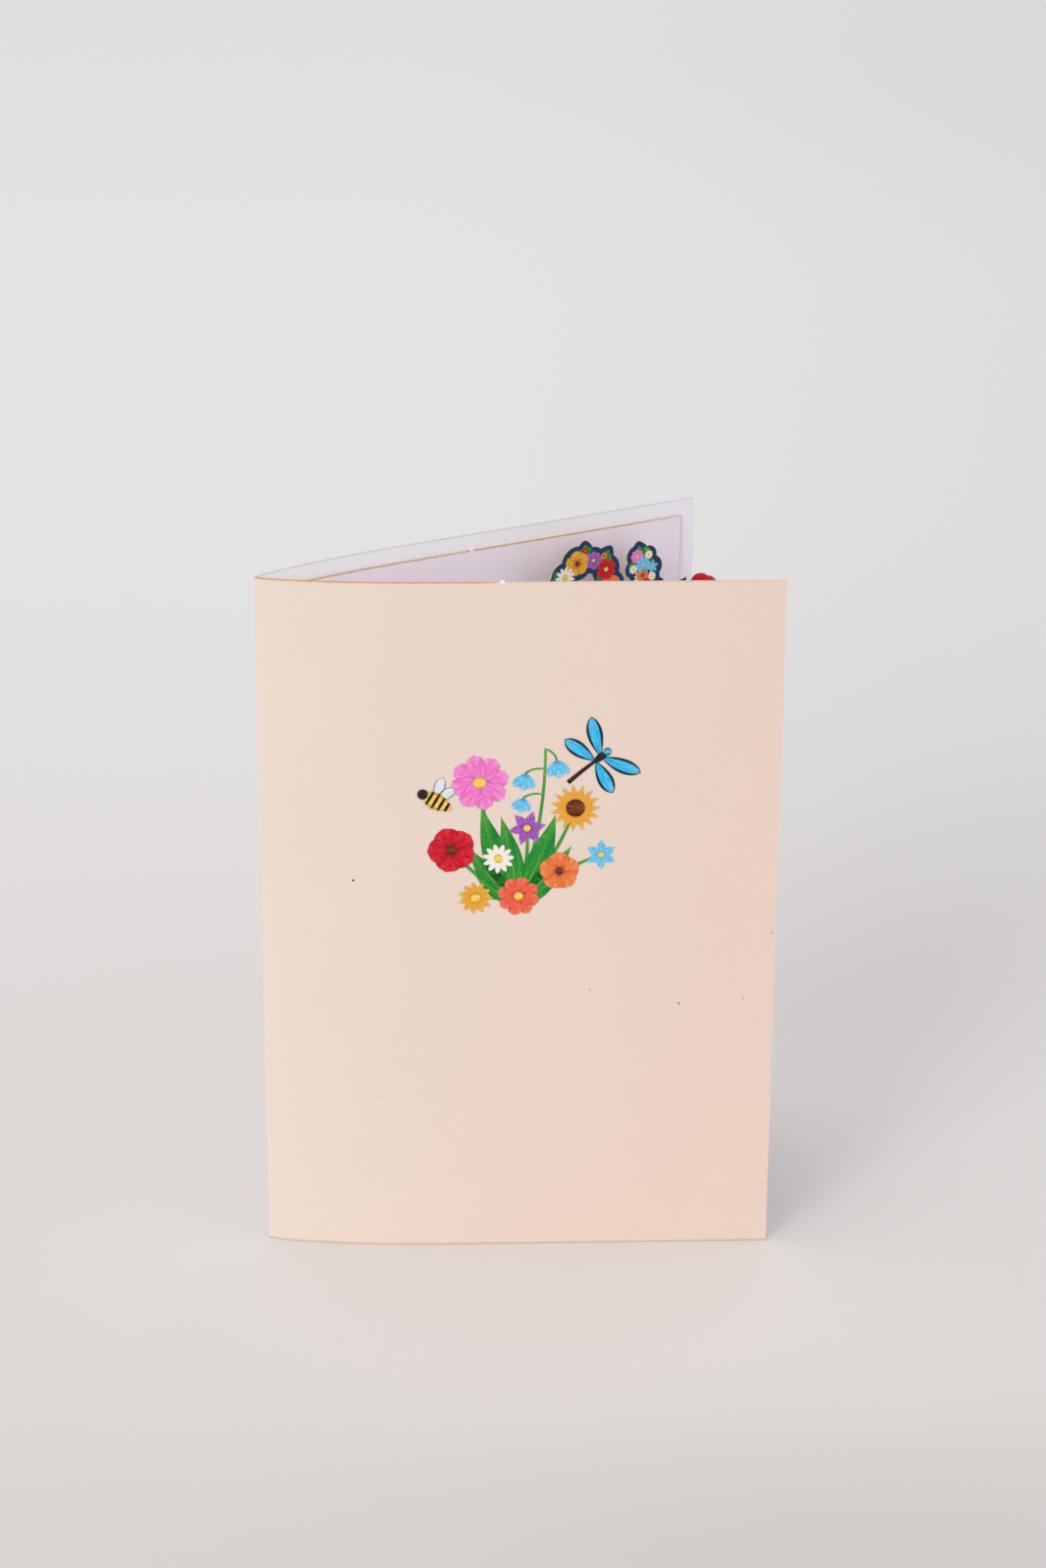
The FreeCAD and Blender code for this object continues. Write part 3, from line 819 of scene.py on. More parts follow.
class PrintSheet:
    """Print on one face: flat painted blades, each a closed film that hugs the face.

    A blade has rows of five corners: left, middle and right above, left and right below.
    Levels are STEP apart, and the lowest film lies CLEAR off the face.
    """
    FILM = 0.004
    STEP = 0.005
    CLEAR = 0.002
    ROOT_GAP = 0.05
    SWAY = 0.04
    STEM_TAPER = (1.15, 0.4)
    STEM_PIECES = 9
    PROBE = 50.0
    AROUND = ((0, 1), (1, 2), (2, 4), (4, 3), (3, 0))
    CAP = ((0, 3), (3, 4), (4, 2))
    BLOOM_FILMS = 4

    def __init__(self, name: str, surface: Surface, inks: dict[Ink, bpy.types.Material]) -> None:
        """Start an empty print on a surface.

        Args:
            name: name of the piece.
            surface: face that the print lies on.
            inks: material of each ink.
        """
        self.name = name
        self.surface = surface
        self.inks = inks
        self.used: list[Ink] = []
        self.places: list[Vector] = []
        self.faces: list[tuple[int, ...]] = []
        self.slots: list[int] = []
        self.petal_uv: list[Point] = []
        self.rims: list[float] = []
        origin, right, up, out = (surface.at(self.PROBE + a, self.PROBE + b, c)
                                  for a, b, c in ((0, 0, 0), (1, 0, 0), (0, 1, 0), (0, 0, 1)))
        self.flipped = (right - origin).cross(up - origin).dot(out - origin) < 0

    def blade(self, spine: Sequence[Point], half_widths: Sequence[float], ink: Ink, level: int) -> None:
        """Add one blade: a petal, leaf, stem or disc along a spine.

        Args:
            spine: flat points along the middle of the blade.
            half_widths: half of its width at each point; it closes where that is 0.
            ink: ink of the blade.
            level: place in the stack of films, from the face up.
        """
        if ink not in self.used:
            self.used.append(ink)
        slot = self.used.index(ink)
        widest = max(half_widths)
        lower = self.STEP * level + self.CLEAR
        upper = lower + self.FILM
        last = len(spine) - 1
        rows = []
        for index, (point, half) in enumerate(zip(spine, half_widths)):
            before, after = spine[max(index - 1, 0)], spine[min(index + 1, last)]
            way = Vector((after[0] - before[0], after[1] - before[1])).normalized()
            left = (point[0] - way.y * half, point[1] + way.x * half)
            right = (point[0] + way.y * half, point[1] - way.x * half)
            along = index / last
            spread = half / widest / 2
            if half == 0:
                tip, foot = (self.vertex(point, lift, (along, 0.5), 1.0) for lift in (upper, lower))
                rows.append((tip, tip, tip, foot, foot))
            else:
                rows.append([self.vertex(at, lift, (along, 0.5 + across), rim)
                             for at, lift, across, rim in (
                                 (left, upper, spread, 1.0), (point, upper, 0.0, 0.0),
                                 (right, upper, -spread, 1.0), (left, lower, spread, 1.0),
                                 (right, lower, -spread, 1.0))])
        for one, two in zip(rows, rows[1:]):
            for a, b in self.AROUND:
                self.face((one[a], one[b], two[b], two[a]), slot)
        for row, turn in ((rows[0], 1), (rows[-1], -1)):
            if row[0] != row[2]:
                for a, b in self.CAP:
                    self.face((row[a], row[b], row[1])[::turn], slot)

    def vertex(self, point: Point, lift: float, petal: Point, rim: float) -> int:
        """Add a vertex.

        Args:
            point: flat point.
            lift: distance off the face.
            petal: shares of the blade's length and width.
            rim: 1 on the blade's outline and 0 along its middle.

        Returns:
            Index of the vertex.
        """
        self.places.append(self.surface.at(*point, lift))
        self.petal_uv.append(petal)
        self.rims.append(rim)
        return len(self.places) - 1

    def face(self, corners: Sequence[int], slot: int) -> None:
        """Add a face, without repeated corners, turned outwards.

        Args:
            corners: vertices around the face.
            slot: material slot of its ink.
        """
        kept = list(dict.fromkeys(corners))
        if len(kept) > 2:
            self.faces.append(tuple(kept[::-1] if self.flipped else kept))
            self.slots.append(slot)

    def petal(self, root: Point, heading: float, length: float, width: float, tip: Tip,
              ink: Ink, level: int, bend: float = 0.0, pieces: int = 7) -> None:
        """Add a petal or leaf.

        Args:
            root: where it starts, but for a gap that keeps petals of one flower from joining.
            heading: its direction in degrees, counted from the right.
            length: its length.
            width: its full width.
            tip: how it ends.
            ink: its ink.
            level: place in the stack of films.
            bend: how many degrees it turns on its way.
            pieces: number of stretches along it.
        """
        spine, halves = [shifted(root, heading, self.ROOT_GAP)], [0.0]
        for number in range(1, pieces + 1):
            share = number / pieces
            spine.append(shifted(spine[-1], heading + bend * (share - 0.5 / pieces), length / pieces))
            halves.append(0.0 if number == pieces else tip.width_at(share) * width / 2)
        self.blade(spine, halves, ink, level)

    def disc(self, centre: Point, radius: float, ink: Ink, level: int, pieces: int = 8) -> None:
        """Add a round spot.

        Args:
            centre: its middle.
            radius: its radius.
            ink: its ink.
            level: place in the stack of films.
            pieces: number of stretches across it.
        """
        angles = [math.pi * number / pieces for number in range(pieces + 1)]
        spine = [(centre[0] - radius * math.cos(angle), centre[1]) for angle in angles]
        halves = [0.0, *(radius * math.sin(angle) for angle in angles[1:-1]), 0.0]
        self.blade(spine, halves, ink, level)

    def stem(self, start: Point, end: Point, sway: float, width: float, ink: Ink, level: int) -> None:
        """Add a bowed stem that narrows towards its head.

        Args:
            start: its foot.
            end: its head.
            sway: how far it bows to one side.
            width: its full width.
            ink: its ink.
            level: place in the stack of films.
        """
        bow = self.SWAY * sway
        mid = ((start[0] + end[0]) / 2 + bow * (start[1] - end[1]),
               (start[1] + end[1]) / 2 + bow * (end[0] - start[0]))
        foot_share, taper = self.STEM_TAPER
        shares = [number / self.STEM_PIECES for number in range(self.STEM_PIECES + 1)]
        spine = [tuple((1 - t) ** 2 * a + 2 * t * (1 - t) * b + t ** 2 * c
                       for a, b, c in zip(start, mid, end)) for t in shares]
        self.blade(spine, [width / 2 * (foot_share - taper * t) for t in shares], ink, level)

    def bloom(self, bloom: Bloom, level: int, pieces: int = 8) -> None:
        """Add a flower head with its petals and centre.

        Args:
            bloom: the flower head.
            level: lowest of the four films that it takes.
            pieces: number of stretches along each petal.
        """
        petals, width, tip, centre, centre_ink = bloom.kind.value
        for number in range(petals):
            self.petal(bloom.at, bloom.turn + 360 * number / petals, bloom.radius, bloom.radius * width,
                       tip, bloom.ink, level + number % 3, pieces=pieces)
        self.disc(bloom.at, bloom.radius * centre, centre_ink, level + self.BLOOM_FILMS - 1, pieces)

    def build(self, slot: str) -> bpy.types.Object:
        """Make the mesh object and let it ride on the card.

        Args:
            slot: not used; names the material slot of the record that the print belongs to.

        Returns:
            The new object.
        """
        mesh = bpy.data.meshes.new(self.name)
        mesh.from_pydata(self.places, [], self.faces)
        for ink in self.used:
            mesh.materials.append(self.inks[ink])
        mesh.polygons.foreach_set("material_index", self.slots)
        uv = mesh.uv_layers.new(name="petal")
        for loop in mesh.loops:
            uv.data[loop.index].uv = self.petal_uv[loop.vertex_index]
        mesh.attributes.new("rim", "FLOAT", "POINT").data.foreach_set("value", self.rims)
        piece = add_object(self.name, mesh)
        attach(piece, "root")
        return piece


@dataclass(frozen=True)
class Leaf:
    """Leaf that rises from the tie: its heading in degrees, length, width and bend."""
    heading: float
    length: float
    width: float
    bend: float


@dataclass(frozen=True)
class Bell:
    """Hanging bell: its top, length and lean, its joint on the stalk, and its stalk's sway."""
    top: Point
    size: float
    lean: float
    joint: Point
    sway: float


@dataclass(frozen=True)
class BellPetal:
    """Petal of a bell: its heading, its share of the bell's length, and films above the lowest."""
    heading: float
    share: float
    above: int


@dataclass(frozen=True)
class Spot:
    """Round place: that of a bloom in a packed bouquet, or a speck."""
    at: Point
    radius: float


@dataclass(frozen=True)
class Wing:
    """Wing of an insect: the place of its root, its turn in degrees and its length."""
    root: float
    turn: float
    length: float


@dataclass(frozen=True)
class Stripe:
    """Stripe across a bee: its place and half of its length."""
    place: float
    half: float


@dataclass(frozen=True, kw_only=True)
class Insect:
    """Insect in flight, heading so many degrees from the right.

    Places along it are measured from its middle, positive towards its head.
    """
    at: Point
    heading: float
    wings: tuple[Wing, ...]
    wing_width: float
    body_start: float
    body_length: float
    body_width: float
    head_place: float
    head_radius: float

    def along(self, place: float) -> Point:
        """Flat point at a place along the insect."""
        return shifted(self.at, self.heading, place)


@dataclass(frozen=True, kw_only=True)
class Dragonfly(Insect):
    """Blue dragonfly with two pairs of wings, a tail, a body and a head."""
    at: Point = (82.4, 132.6)
    heading: float = 40
    wings: tuple[Wing, ...] = (Wing(0.8, 66, 10.6), Wing(-0.8, 106, 9.4))
    wing_width: float = 3.8
    wing_bend: float = -6
    wing_pieces: int = 12
    tail_end: float = -9.5
    tail_sway: float = 0.6
    tail_width: float = 1.0
    body_start: float = -2.0
    body_length: float = 4.8
    body_width: float = 1.9
    head_place: float = 2.9
    head_radius: float = 1.0

    def add_to(self, sheet: PrintSheet, level: int) -> None:
        """Add the dragonfly to a print.

        Args:
            sheet: print of the front panel.
            level: lowest of the films that it takes.
        """
        for wing in self.wings:
            for side in (-1, 1):
                sheet.petal(self.along(wing.root), self.heading + side * wing.turn, wing.length,
                            self.wing_width, Tip.ROUND, Ink.WING, level, side * self.wing_bend,
                            self.wing_pieces)
        tail = self.along(self.tail_end)
        sheet.stem(tail, self.at, self.tail_sway, self.tail_width, Ink.JET, level + 2)
        sheet.petal(self.along(self.body_start), self.heading, self.body_length, self.body_width,
                    Tip.ROUND, Ink.JET, level + 3)
        sheet.disc(self.along(self.head_place), self.head_radius, Ink.WING, level + 4)


@dataclass(frozen=True, kw_only=True)
class Bee(Insect):
    """Striped bee with two veiled wings."""
    at: Point = (43.4, 121.6)
    heading: float = 150
    wings: tuple[Wing, ...] = (Wing(0.8, -78, 6.4), Wing(0.8, -118, 5.6))
    wing_width: float = 2.7
    body_start: float = -4.2
    body_length: float = 8.2
    body_width: float = 4.4
    pieces: int = 10
    stripes: tuple[Stripe, ...] = (Stripe(-2.6, 1.2), Stripe(-1.0, 1.85), Stripe(0.6, 2.1),
                                   Stripe(2.2, 1.9))
    stripe_halves: tuple[float, ...] = (0.3, 0.42, 0.3)
    head_place: float = 4.2
    head_radius: float = 1.35

    def add_to(self, sheet: PrintSheet, level: int) -> None:
        """Add the bee to a print.

        Args:
            sheet: print of the front panel.
            level: lowest of the films that it takes.
        """
        for wing in self.wings:
            sheet.petal(self.along(wing.root), self.heading + wing.turn, wing.length, self.wing_width,
                        Tip.ROUND, Ink.VEIL, level, pieces=self.pieces)
        sheet.petal(self.along(self.body_start), self.heading, self.body_length, self.body_width,
                    Tip.ROUND, Ink.YOLK, level + 2, pieces=self.pieces)
        for stripe in self.stripes:
            ends = [shifted(self.along(stripe.place), self.heading + 90, step * stripe.half)
                    for step in (-1, 0, 1)]
            sheet.blade(ends, self.stripe_halves, Ink.JET, level + 4)
        sheet.disc(self.along(self.head_place), self.head_radius, Ink.JET, level + 5)


@dataclass
class Posy:
    """Loose posy with two insects, printed on the front panel, and the panel's specks."""
    tie: Point = (62.8, 95.0)
    blooms: tuple[Bloom, ...] = (
        Bloom(Kind.COSMOS, Ink.PINK, (53.6, 126.6), 7.2, 12),
        Bloom(Kind.SUN, Ink.GOLD, (77.0, 119.8), 6.2, 0),
        Bloom(Kind.POPPY, Ink.RED, (46.8, 109.0), 6.0, 40),
        Bloom(Kind.STAR, Ink.PURPLE, (65.2, 114.6), 4.6, 10),
        Bloom(Kind.DAISY, Ink.WHITE, (58.2, 106.6), 3.9, 5),
        Bloom(Kind.POPPY, Ink.ORANGE, (73.2, 103.2), 5.0, 20),
        Bloom(Kind.COSMOS, Ink.CORAL, (63.2, 96.6), 5.2, 30),
        Bloom(Kind.DAISY, Ink.GOLD, (52.6, 96.2), 4.2, 0),
        Bloom(Kind.STAR, Ink.BLUE, (83.4, 107.4), 4.0, 30),
    )
    leaves: tuple[Leaf, ...] = (
        Leaf(116, 27, 6.6, -14), Leaf(60, 25, 6.2, 16), Leaf(94, 23, 5.6, 12), Leaf(140, 19, 5.2, -22),
        Leaf(38, 20, 5.2, 20), Leaf(154, 12, 3.8, -16), Leaf(24, 12, 3.8, 14))
    stalk_head: Point = (69.6, 135.4)
    bells: tuple[Bell, ...] = (
        Bell((64.8, 129.0), 4.6, -8, (69.5, 130.0), 6.0),
        Bell((72.3, 132.4), 4.8, 8, (69.6, 135.2), -7.0),
        Bell((64.3, 122.6), 4.0, -12, (69.0, 123.4), 6.0))
    bell_petals: tuple[BellPetal, ...] = (BellPetal(-122, 0.46, 0), BellPetal(-58, 0.46, 0),
                                          BellPetal(-90, 0.62, 1))
    dragonfly: Dragonfly = Dragonfly()
    bee: Bee = Bee()
    specks: tuple[Spot, ...] = (
        Spot((22.6, 100.8), 0.3), Spot((103.3, 67.1), 0.26), Spot((81.0, 71.1), 0.16),
        Spot((119.4, 68.4), 0.16), Spot((126.0, 86.1), 0.18), Spot((24.3, 39.8), 0.13),
        Spot((28.4, 41.9), 0.13), Spot((22.1, 29.2), 0.13))
    STEM_SWAY = 2.4
    STEM_WIDTH = 1.0
    MIDRIB = 0.94
    RIB_WIDTH = 0.55
    STALK_SWAY = -2.2
    STALK_WIDTH = 0.9
    STALK_LEVEL = 3
    JOINT_WIDTH = 0.55
    LEAF_PIECES = 14
    LEAF_LEVEL = 5
    BELL_LEVEL = 11
    BLOOM_LEVEL = 14
    INSECT_LEVEL = 23

    def build(self, sheet: PrintSheet) -> bpy.types.Object:
        """Lay stems, leaves, bells, blooms, insects and specks on the sheet.

        Args:
            sheet: print of the front panel.

        Returns:
            The new piece.
        """
        for number, bloom in enumerate(self.blooms):
            sway = self.STEM_SWAY * (-1) ** number
            sheet.stem(self.tie, bloom.at, sway, self.STEM_WIDTH, Ink.STEM, number % 4)
        for number, leaf in enumerate(self.leaves):
            self.add_leaf(sheet, leaf, self.LEAF_LEVEL + 2 * (number % 3))
        self.add_bells(sheet)
        for number, bloom in enumerate(self.blooms):
            sheet.bloom(bloom, self.BLOOM_LEVEL + sheet.BLOOM_FILMS * (number % 2))
        self.dragonfly.add_to(sheet, self.INSECT_LEVEL)
        self.bee.add_to(sheet, self.INSECT_LEVEL)
        for speck in self.specks:
            sheet.disc(speck.at, speck.radius, Ink.SPECK, 0)
        return sheet.build("cover_card")

    def add_leaf(self, sheet: PrintSheet, leaf: Leaf, level: int) -> None:
        """Add a leaf with its midrib.

        Args:
            sheet: print of the front panel.
            leaf: the leaf.
            level: place of the leaf in the stack of films, below its midrib.
        """
        sheet.petal(self.tie, leaf.heading, leaf.length, leaf.width, Tip.POINTED, Ink.LEAF, level,
                    leaf.bend, self.LEAF_PIECES)
        sheet.petal(self.tie, leaf.heading, leaf.length * self.MIDRIB, self.RIB_WIDTH, Tip.POINTED,
                    Ink.STEM, level + 1, leaf.bend * self.MIDRIB, self.LEAF_PIECES)

    def add_bells(self, sheet: PrintSheet) -> None:
        """Add an upright stalk with blue bells of three petals that hang from it.

        Args:
            sheet: print of the front panel.
        """
        sheet.stem(self.tie, self.stalk_head, self.STALK_SWAY, self.STALK_WIDTH, Ink.STEM,
                   self.STALK_LEVEL)
        for bell in self.bells:
            sheet.stem(bell.top, bell.joint, bell.sway, self.JOINT_WIDTH, Ink.STEM,
                       self.STALK_LEVEL + 1)
            for petal in self.bell_petals:
                sheet.petal(bell.top, petal.heading + bell.lean, bell.size, bell.size * petal.share,
                            Tip.ROUND, Ink.BLUE, self.BELL_LEVEL + petal.above)


@dataclass(frozen=True)
class Ground:
    """Leaves under the blooms of one part of a layer: every how many cells, and their size."""
    step: int
    length: float
    width: float


@dataclass
class LayerPrint:
    """Bouquet printed on both faces of both halves of one folded pop-up layer.

    The part above fine_from shows in the photograph and is packed more closely.
    """
    node: str
    fold: float
    fine_from: float = 152.0
    margin: float = 0.85
    radii: tuple[float, ...] = (4.4, 3.6, 3.0)
    fine_radii: tuple[float, ...] = (3.8, 3.3, 2.7, 2.1, 1.6, 1.2, 0.9)
    overlap: float = 0.88
    tries: int = 1500
    coarse: Ground = Ground(8, 7.0, 3.0)
    fine: Ground = Ground(3, 3.2, 1.4)
    palette: tuple[tuple[Kind, Ink], ...] = (
        (Kind.POPPY, Ink.GOLD), (Kind.DAISY, Ink.WHITE), (Kind.COSMOS, Ink.PINK), (Kind.POPPY, Ink.RED),
        (Kind.COSMOS, Ink.BLUE), (Kind.POPPY, Ink.ORANGE), (Kind.STAR, Ink.PURPLE),
        (Kind.DAISY, Ink.WHITE), (Kind.COSMOS, Ink.RED), (Kind.STAR, Ink.BLUE))
    LEAF_SHARE = 0.85
    LEAF_LEVELS = 3
    LEAF_PIECES = 4
    BLOOM_PIECES = 5
    PALETTE_STEP = 3
    PALETTE_RUN = 7

    def pack(self, outline: Outline, taken: list[Spot], dice: random.Random) -> list[Spot]:
        """Fill the outline with round places, the large ones first.

        Args:
            outline: cut outline of the half.
            taken: places that are already used.
            dice: seeded source of the order in which places are tried.

        Returns:
            The new places.
        """
        places = [(at, outline.room(at)) for at in outline.inside]
        found: list[Spot] = []
        for radii, fine in ((self.fine_radii, True), (self.radii, False)):
            for radius in radii:
                ready = [at for at, room in places
                         if room > radius + self.margin and (at[1] > self.fine_from) is fine]
                for at in dice.sample(ready, min(len(ready), self.tries)):
                    if all(math.dist(at, spot.at) > self.overlap * (radius + spot.radius)
                           for spot in taken + found):
                        found.append(Spot(at, radius))
        return found

    def lay_leaves(self, sheet: PrintSheet, outline: Outline, dice: random.Random) -> None:
        """Cover the ground with small leaves, inside an even margin.

        Args:
            sheet: print of the face.
            outline: cut outline of the half.
            dice: seeded source of the leaves' turns, inks and levels.
        """
        for at in outline.inside:
            ground = self.fine if at[1] > self.fine_from else self.coarse
            column, row = (round(part / outline.CELL) for part in at)
            shift = ground.step // 2 * (column // ground.step % 2)
            if column % ground.step or (row + shift) % ground.step or outline.room(at) < self.margin:
                continue
            turn = dice.uniform(0, 360)
            for heading in (turn, turn + 90, turn + 180, turn + 270):
                if outline.room(shifted(at, heading, ground.length)) > self.margin:
                    ink = Ink.LEAF if dice.random() < self.LEAF_SHARE else Ink.STEM
                    sheet.petal(at, heading, ground.length, ground.width, Tip.POINTED, ink,
                                dice.randrange(self.LEAF_LEVELS), pieces=self.LEAF_PIECES)
                    break

    def reserved(self, side: Side) -> list[Spot]:
        """Room that stays free of packed blooms on one half."""
        return []

    def extras(self, sheet: PrintSheet, side: Side) -> None:
        """Print what this layer carries at set places."""

    def build(self, inks: dict[Ink, bpy.types.Material]) -> list[bpy.types.Object]:
        """Print every face of the layer.

        Args:
            inks: material of each ink.

        Returns:
            One piece for each printed face.
        """
        made = []
        for side in Side:
            outline = Outline(self.node, LayerFace(side, Face.OUTER, self.fold))
            spots = self.pack(outline, self.reserved(side), random.Random(f"{self.node} {side.name}"))
            for face in Face:
                label = f"{self.node}_{side.name.lower()}_{face.name.lower()}_print"
                sheet = PrintSheet(label, LayerFace(side, face, self.fold), inks)
                self.extras(sheet, side)
                brush = random.Random(label)
                self.lay_leaves(sheet, outline, brush)
                for number, spot in enumerate(spots):
                    choice = number * self.PALETTE_STEP + number // self.PALETTE_RUN
                    kind, ink = self.palette[choice % len(self.palette)]
                    bloom = Bloom(kind, ink, spot.at, spot.radius, brush.uniform(0, 360))
                    level = self.LEAF_LEVELS + sheet.BLOOM_FILMS * (number % 2)
                    sheet.bloom(bloom, level, self.BLOOM_PIECES)
                made.append(sheet.build("printed_paper"))
        return made


@dataclass(frozen=True)
class Ring:
    """Ring of blossoms that the cut line follows at an even margin, with leaf tips between them.

    The leaf tips reach as far as the lobe of the number tip_lobe does.
    """
    centre: Point
    radius: float
    lobes: tuple[float, ...]
    first_angle: float
    tip_angles: tuple[float, ...]
    blooms: tuple[tuple[Kind, Ink], ...]
    heart: tuple[Kind, Ink] | None = None
    tip_lobe: int = 1
    HEART_SHARE = 0.72
    HEART_TURN = 10
    TURN_STEP = 25

    def around(self, distance: float, angle: float, drop: float) -> Point:
        """Point at a distance and an angle from the centre, lowered by a drop."""
        return shifted((self.centre[0], self.centre[1] - drop), angle, distance)

    def heads(self, margin: float, drop: float) -> list[Bloom]:
        """Blooms of the ring, and of its middle where that is filled.

        Args:
            margin: border between a bloom and the cut line.
            drop: how far the whole ring is lowered.

        Returns:
            The blooms.
        """
        found = []
        for number, (kind, ink) in enumerate(self.blooms):
            angle = self.first_angle + 360 * number / len(self.blooms)
            size = self.lobes[number % len(self.lobes)] - margin
            place = self.around(self.radius, angle, drop)
            found.append(Bloom(kind, ink, place, size, self.TURN_STEP * number))
        if self.heart:
            middle = self.around(0.0, 0.0, drop)
            size = self.radius * self.HEART_SHARE
            found.append(Bloom(*self.heart, middle, size, self.HEART_TURN))
        return found


@dataclass
class WreathPrint(LayerPrint):
    """Print of the first layer, whose blossoms sit where the cut line bulges."""
    node: str = "first_layer"
    fold: float = 14.5
    front_drop: float = 7.0
    cut_margin: float = 1.15
    tip_length: float = 6.0
    tip_width: float = 3.0
    rings: tuple[Ring, ...] = (
        Ring((75.6, 162.2), 6.9, (3.5, 4.5, 4.0), 72.0, (92.0, 172.0, 252.0, 332.0, 52.0),
             ((Kind.COSMOS, Ink.PURPLE), (Kind.POPPY, Ink.GOLD), (Kind.DAISY, Ink.WHITE),
              (Kind.STAR, Ink.PURPLE), (Kind.POPPY, Ink.RED), (Kind.COSMOS, Ink.BLUE),
              (Kind.DAISY, Ink.WHITE), (Kind.POPPY, Ink.ORANGE), (Kind.COSMOS, Ink.RED)), tip_lobe=2),
        Ring((93.3, 159.6), 2.9, (3.0, 2.4, 3.0), 126.0, (),
             ((Kind.DAISY, Ink.WHITE), (Kind.STAR, Ink.BLUE), (Kind.COSMOS, Ink.PINK),
              (Kind.POPPY, Ink.GOLD), (Kind.DAISY, Ink.WHITE)), (Kind.POPPY, Ink.RED)),
        Ring((92.3, 165.4), 2.9, (3.0, 2.4, 3.0), 126.0, (104.0,),
             ((Kind.COSMOS, Ink.PINK), (Kind.DAISY, Ink.WHITE), (Kind.POPPY, Ink.ORANGE),
              (Kind.STAR, Ink.BLUE), (Kind.DAISY, Ink.WHITE)), (Kind.COSMOS, Ink.BLUE)),
    )
    TIP_LEVEL = 3
    TIP_PIECES = 8
    RING_LEVEL = 11

    def drop(self, side: Side) -> float:
        """How far the cut-outs of one half are lowered."""
        return self.front_drop if side is Side.FRONT else 0.0

    def blooms(self, side: Side) -> list[Bloom]:
        """Blooms of every ring on one half."""
        return [bloom for ring in self.rings for bloom in ring.heads(self.cut_margin, self.drop(side))]

    def reserved(self, side: Side) -> list[Spot]:
        """Room of the blooms in the rings."""
        return [Spot(bloom.at, bloom.radius) for bloom in self.blooms(side)]

    def extras(self, sheet: PrintSheet, side: Side) -> None:
        """Lay the leaf tips and the blooms of the rings.

        Args:
            sheet: print of the face.
            side: half that the face belongs to.
        """
        for ring in self.rings:
            start = ring.radius + ring.lobes[ring.tip_lobe] - self.tip_length
            for angle in ring.tip_angles:
                foot = ring.around(start, angle, self.drop(side))
                sheet.petal(foot, angle, self.tip_length, self.tip_width, Tip.LENS, Ink.LEAF,
                            self.TIP_LEVEL, pieces=self.TIP_PIECES)
        for number, bloom in enumerate(self.blooms(side)):
            sheet.bloom(bloom, self.RING_LEVEL + sheet.BLOOM_FILMS * (number % 3))


@dataclass
class SprigPrint(LayerPrint):
    """Print of the second layer, with one flower and one leaf rising at the front."""
    node: str = "second_layer"
    fold: float = 39.5
    fine_from: float = 160.0
    flower: Point = (69.35, 171.2)
    petals: int = 5
    ring: float = 1.5
    petal: float = 2.35
    petal_edge: float = 0.04
    first_petal: float = 105.0
    heart: float = 2.7
    eye: float = 0.7
    leaf_tip: Point = (65.5, 174.1)
    leaf_room: float = 4.0
    leaf_length: float = 20.0
    leaf_width: float = 5.5
    leaf_edge: float = 0.1
    midrib: float = 0.9
    rib_width: float = 0.5
    lean: float = 32.0
    LEVEL = 2

    def reserved(self, side: Side) -> list[Spot]:
        """Room of the flower and of the leaf's tip, on the front half."""
        spots = [Spot(self.flower, self.ring + self.petal), Spot(self.leaf_tip, self.leaf_room)]
        return spots if side is Side.FRONT else []

    def extras(self, sheet: PrintSheet, side: Side) -> None:
        """Colour the flower and the leaf of the front half.

        Args:
            sheet: print of the face.
            side: half that the face belongs to.
        """
        if side is not Side.FRONT:
            return
        sheet.disc(self.flower, self.heart, Ink.RED, self.LEVEL, pieces=12)
        for number in range(self.petals):
            at = shifted(self.flower, self.first_petal + 360 * number / self.petals, self.ring)
            level = self.LEVEL + 1 + number % 3
            sheet.disc(at, self.petal - self.petal_edge, Ink.RED, level, pieces=10)
        sheet.disc(self.flower, self.eye, Ink.SEED, self.LEVEL + 5)
        heading = 90 - self.lean
        foot = shifted(self.leaf_tip, heading, -self.leaf_length)
        sheet.petal(foot, heading, self.leaf_length - self.leaf_edge, self.leaf_width, Tip.LENS,
                    Ink.DUSK, self.LEVEL, pieces=14)
        sheet.petal(foot, heading, self.leaf_length * self.midrib, self.rib_width, Tip.POINTED,
                    Ink.STEM, self.LEVEL + 1, pieces=12)


@dataclass(frozen=True)
class Lamp:
    """Distant lamp, placed in degrees: left of the camera, above the floor, and its own width.

    Its strength is in watts per square metre.
    """
    left: float
    height: float
    spread: float
    strength: float
    colour: Colour


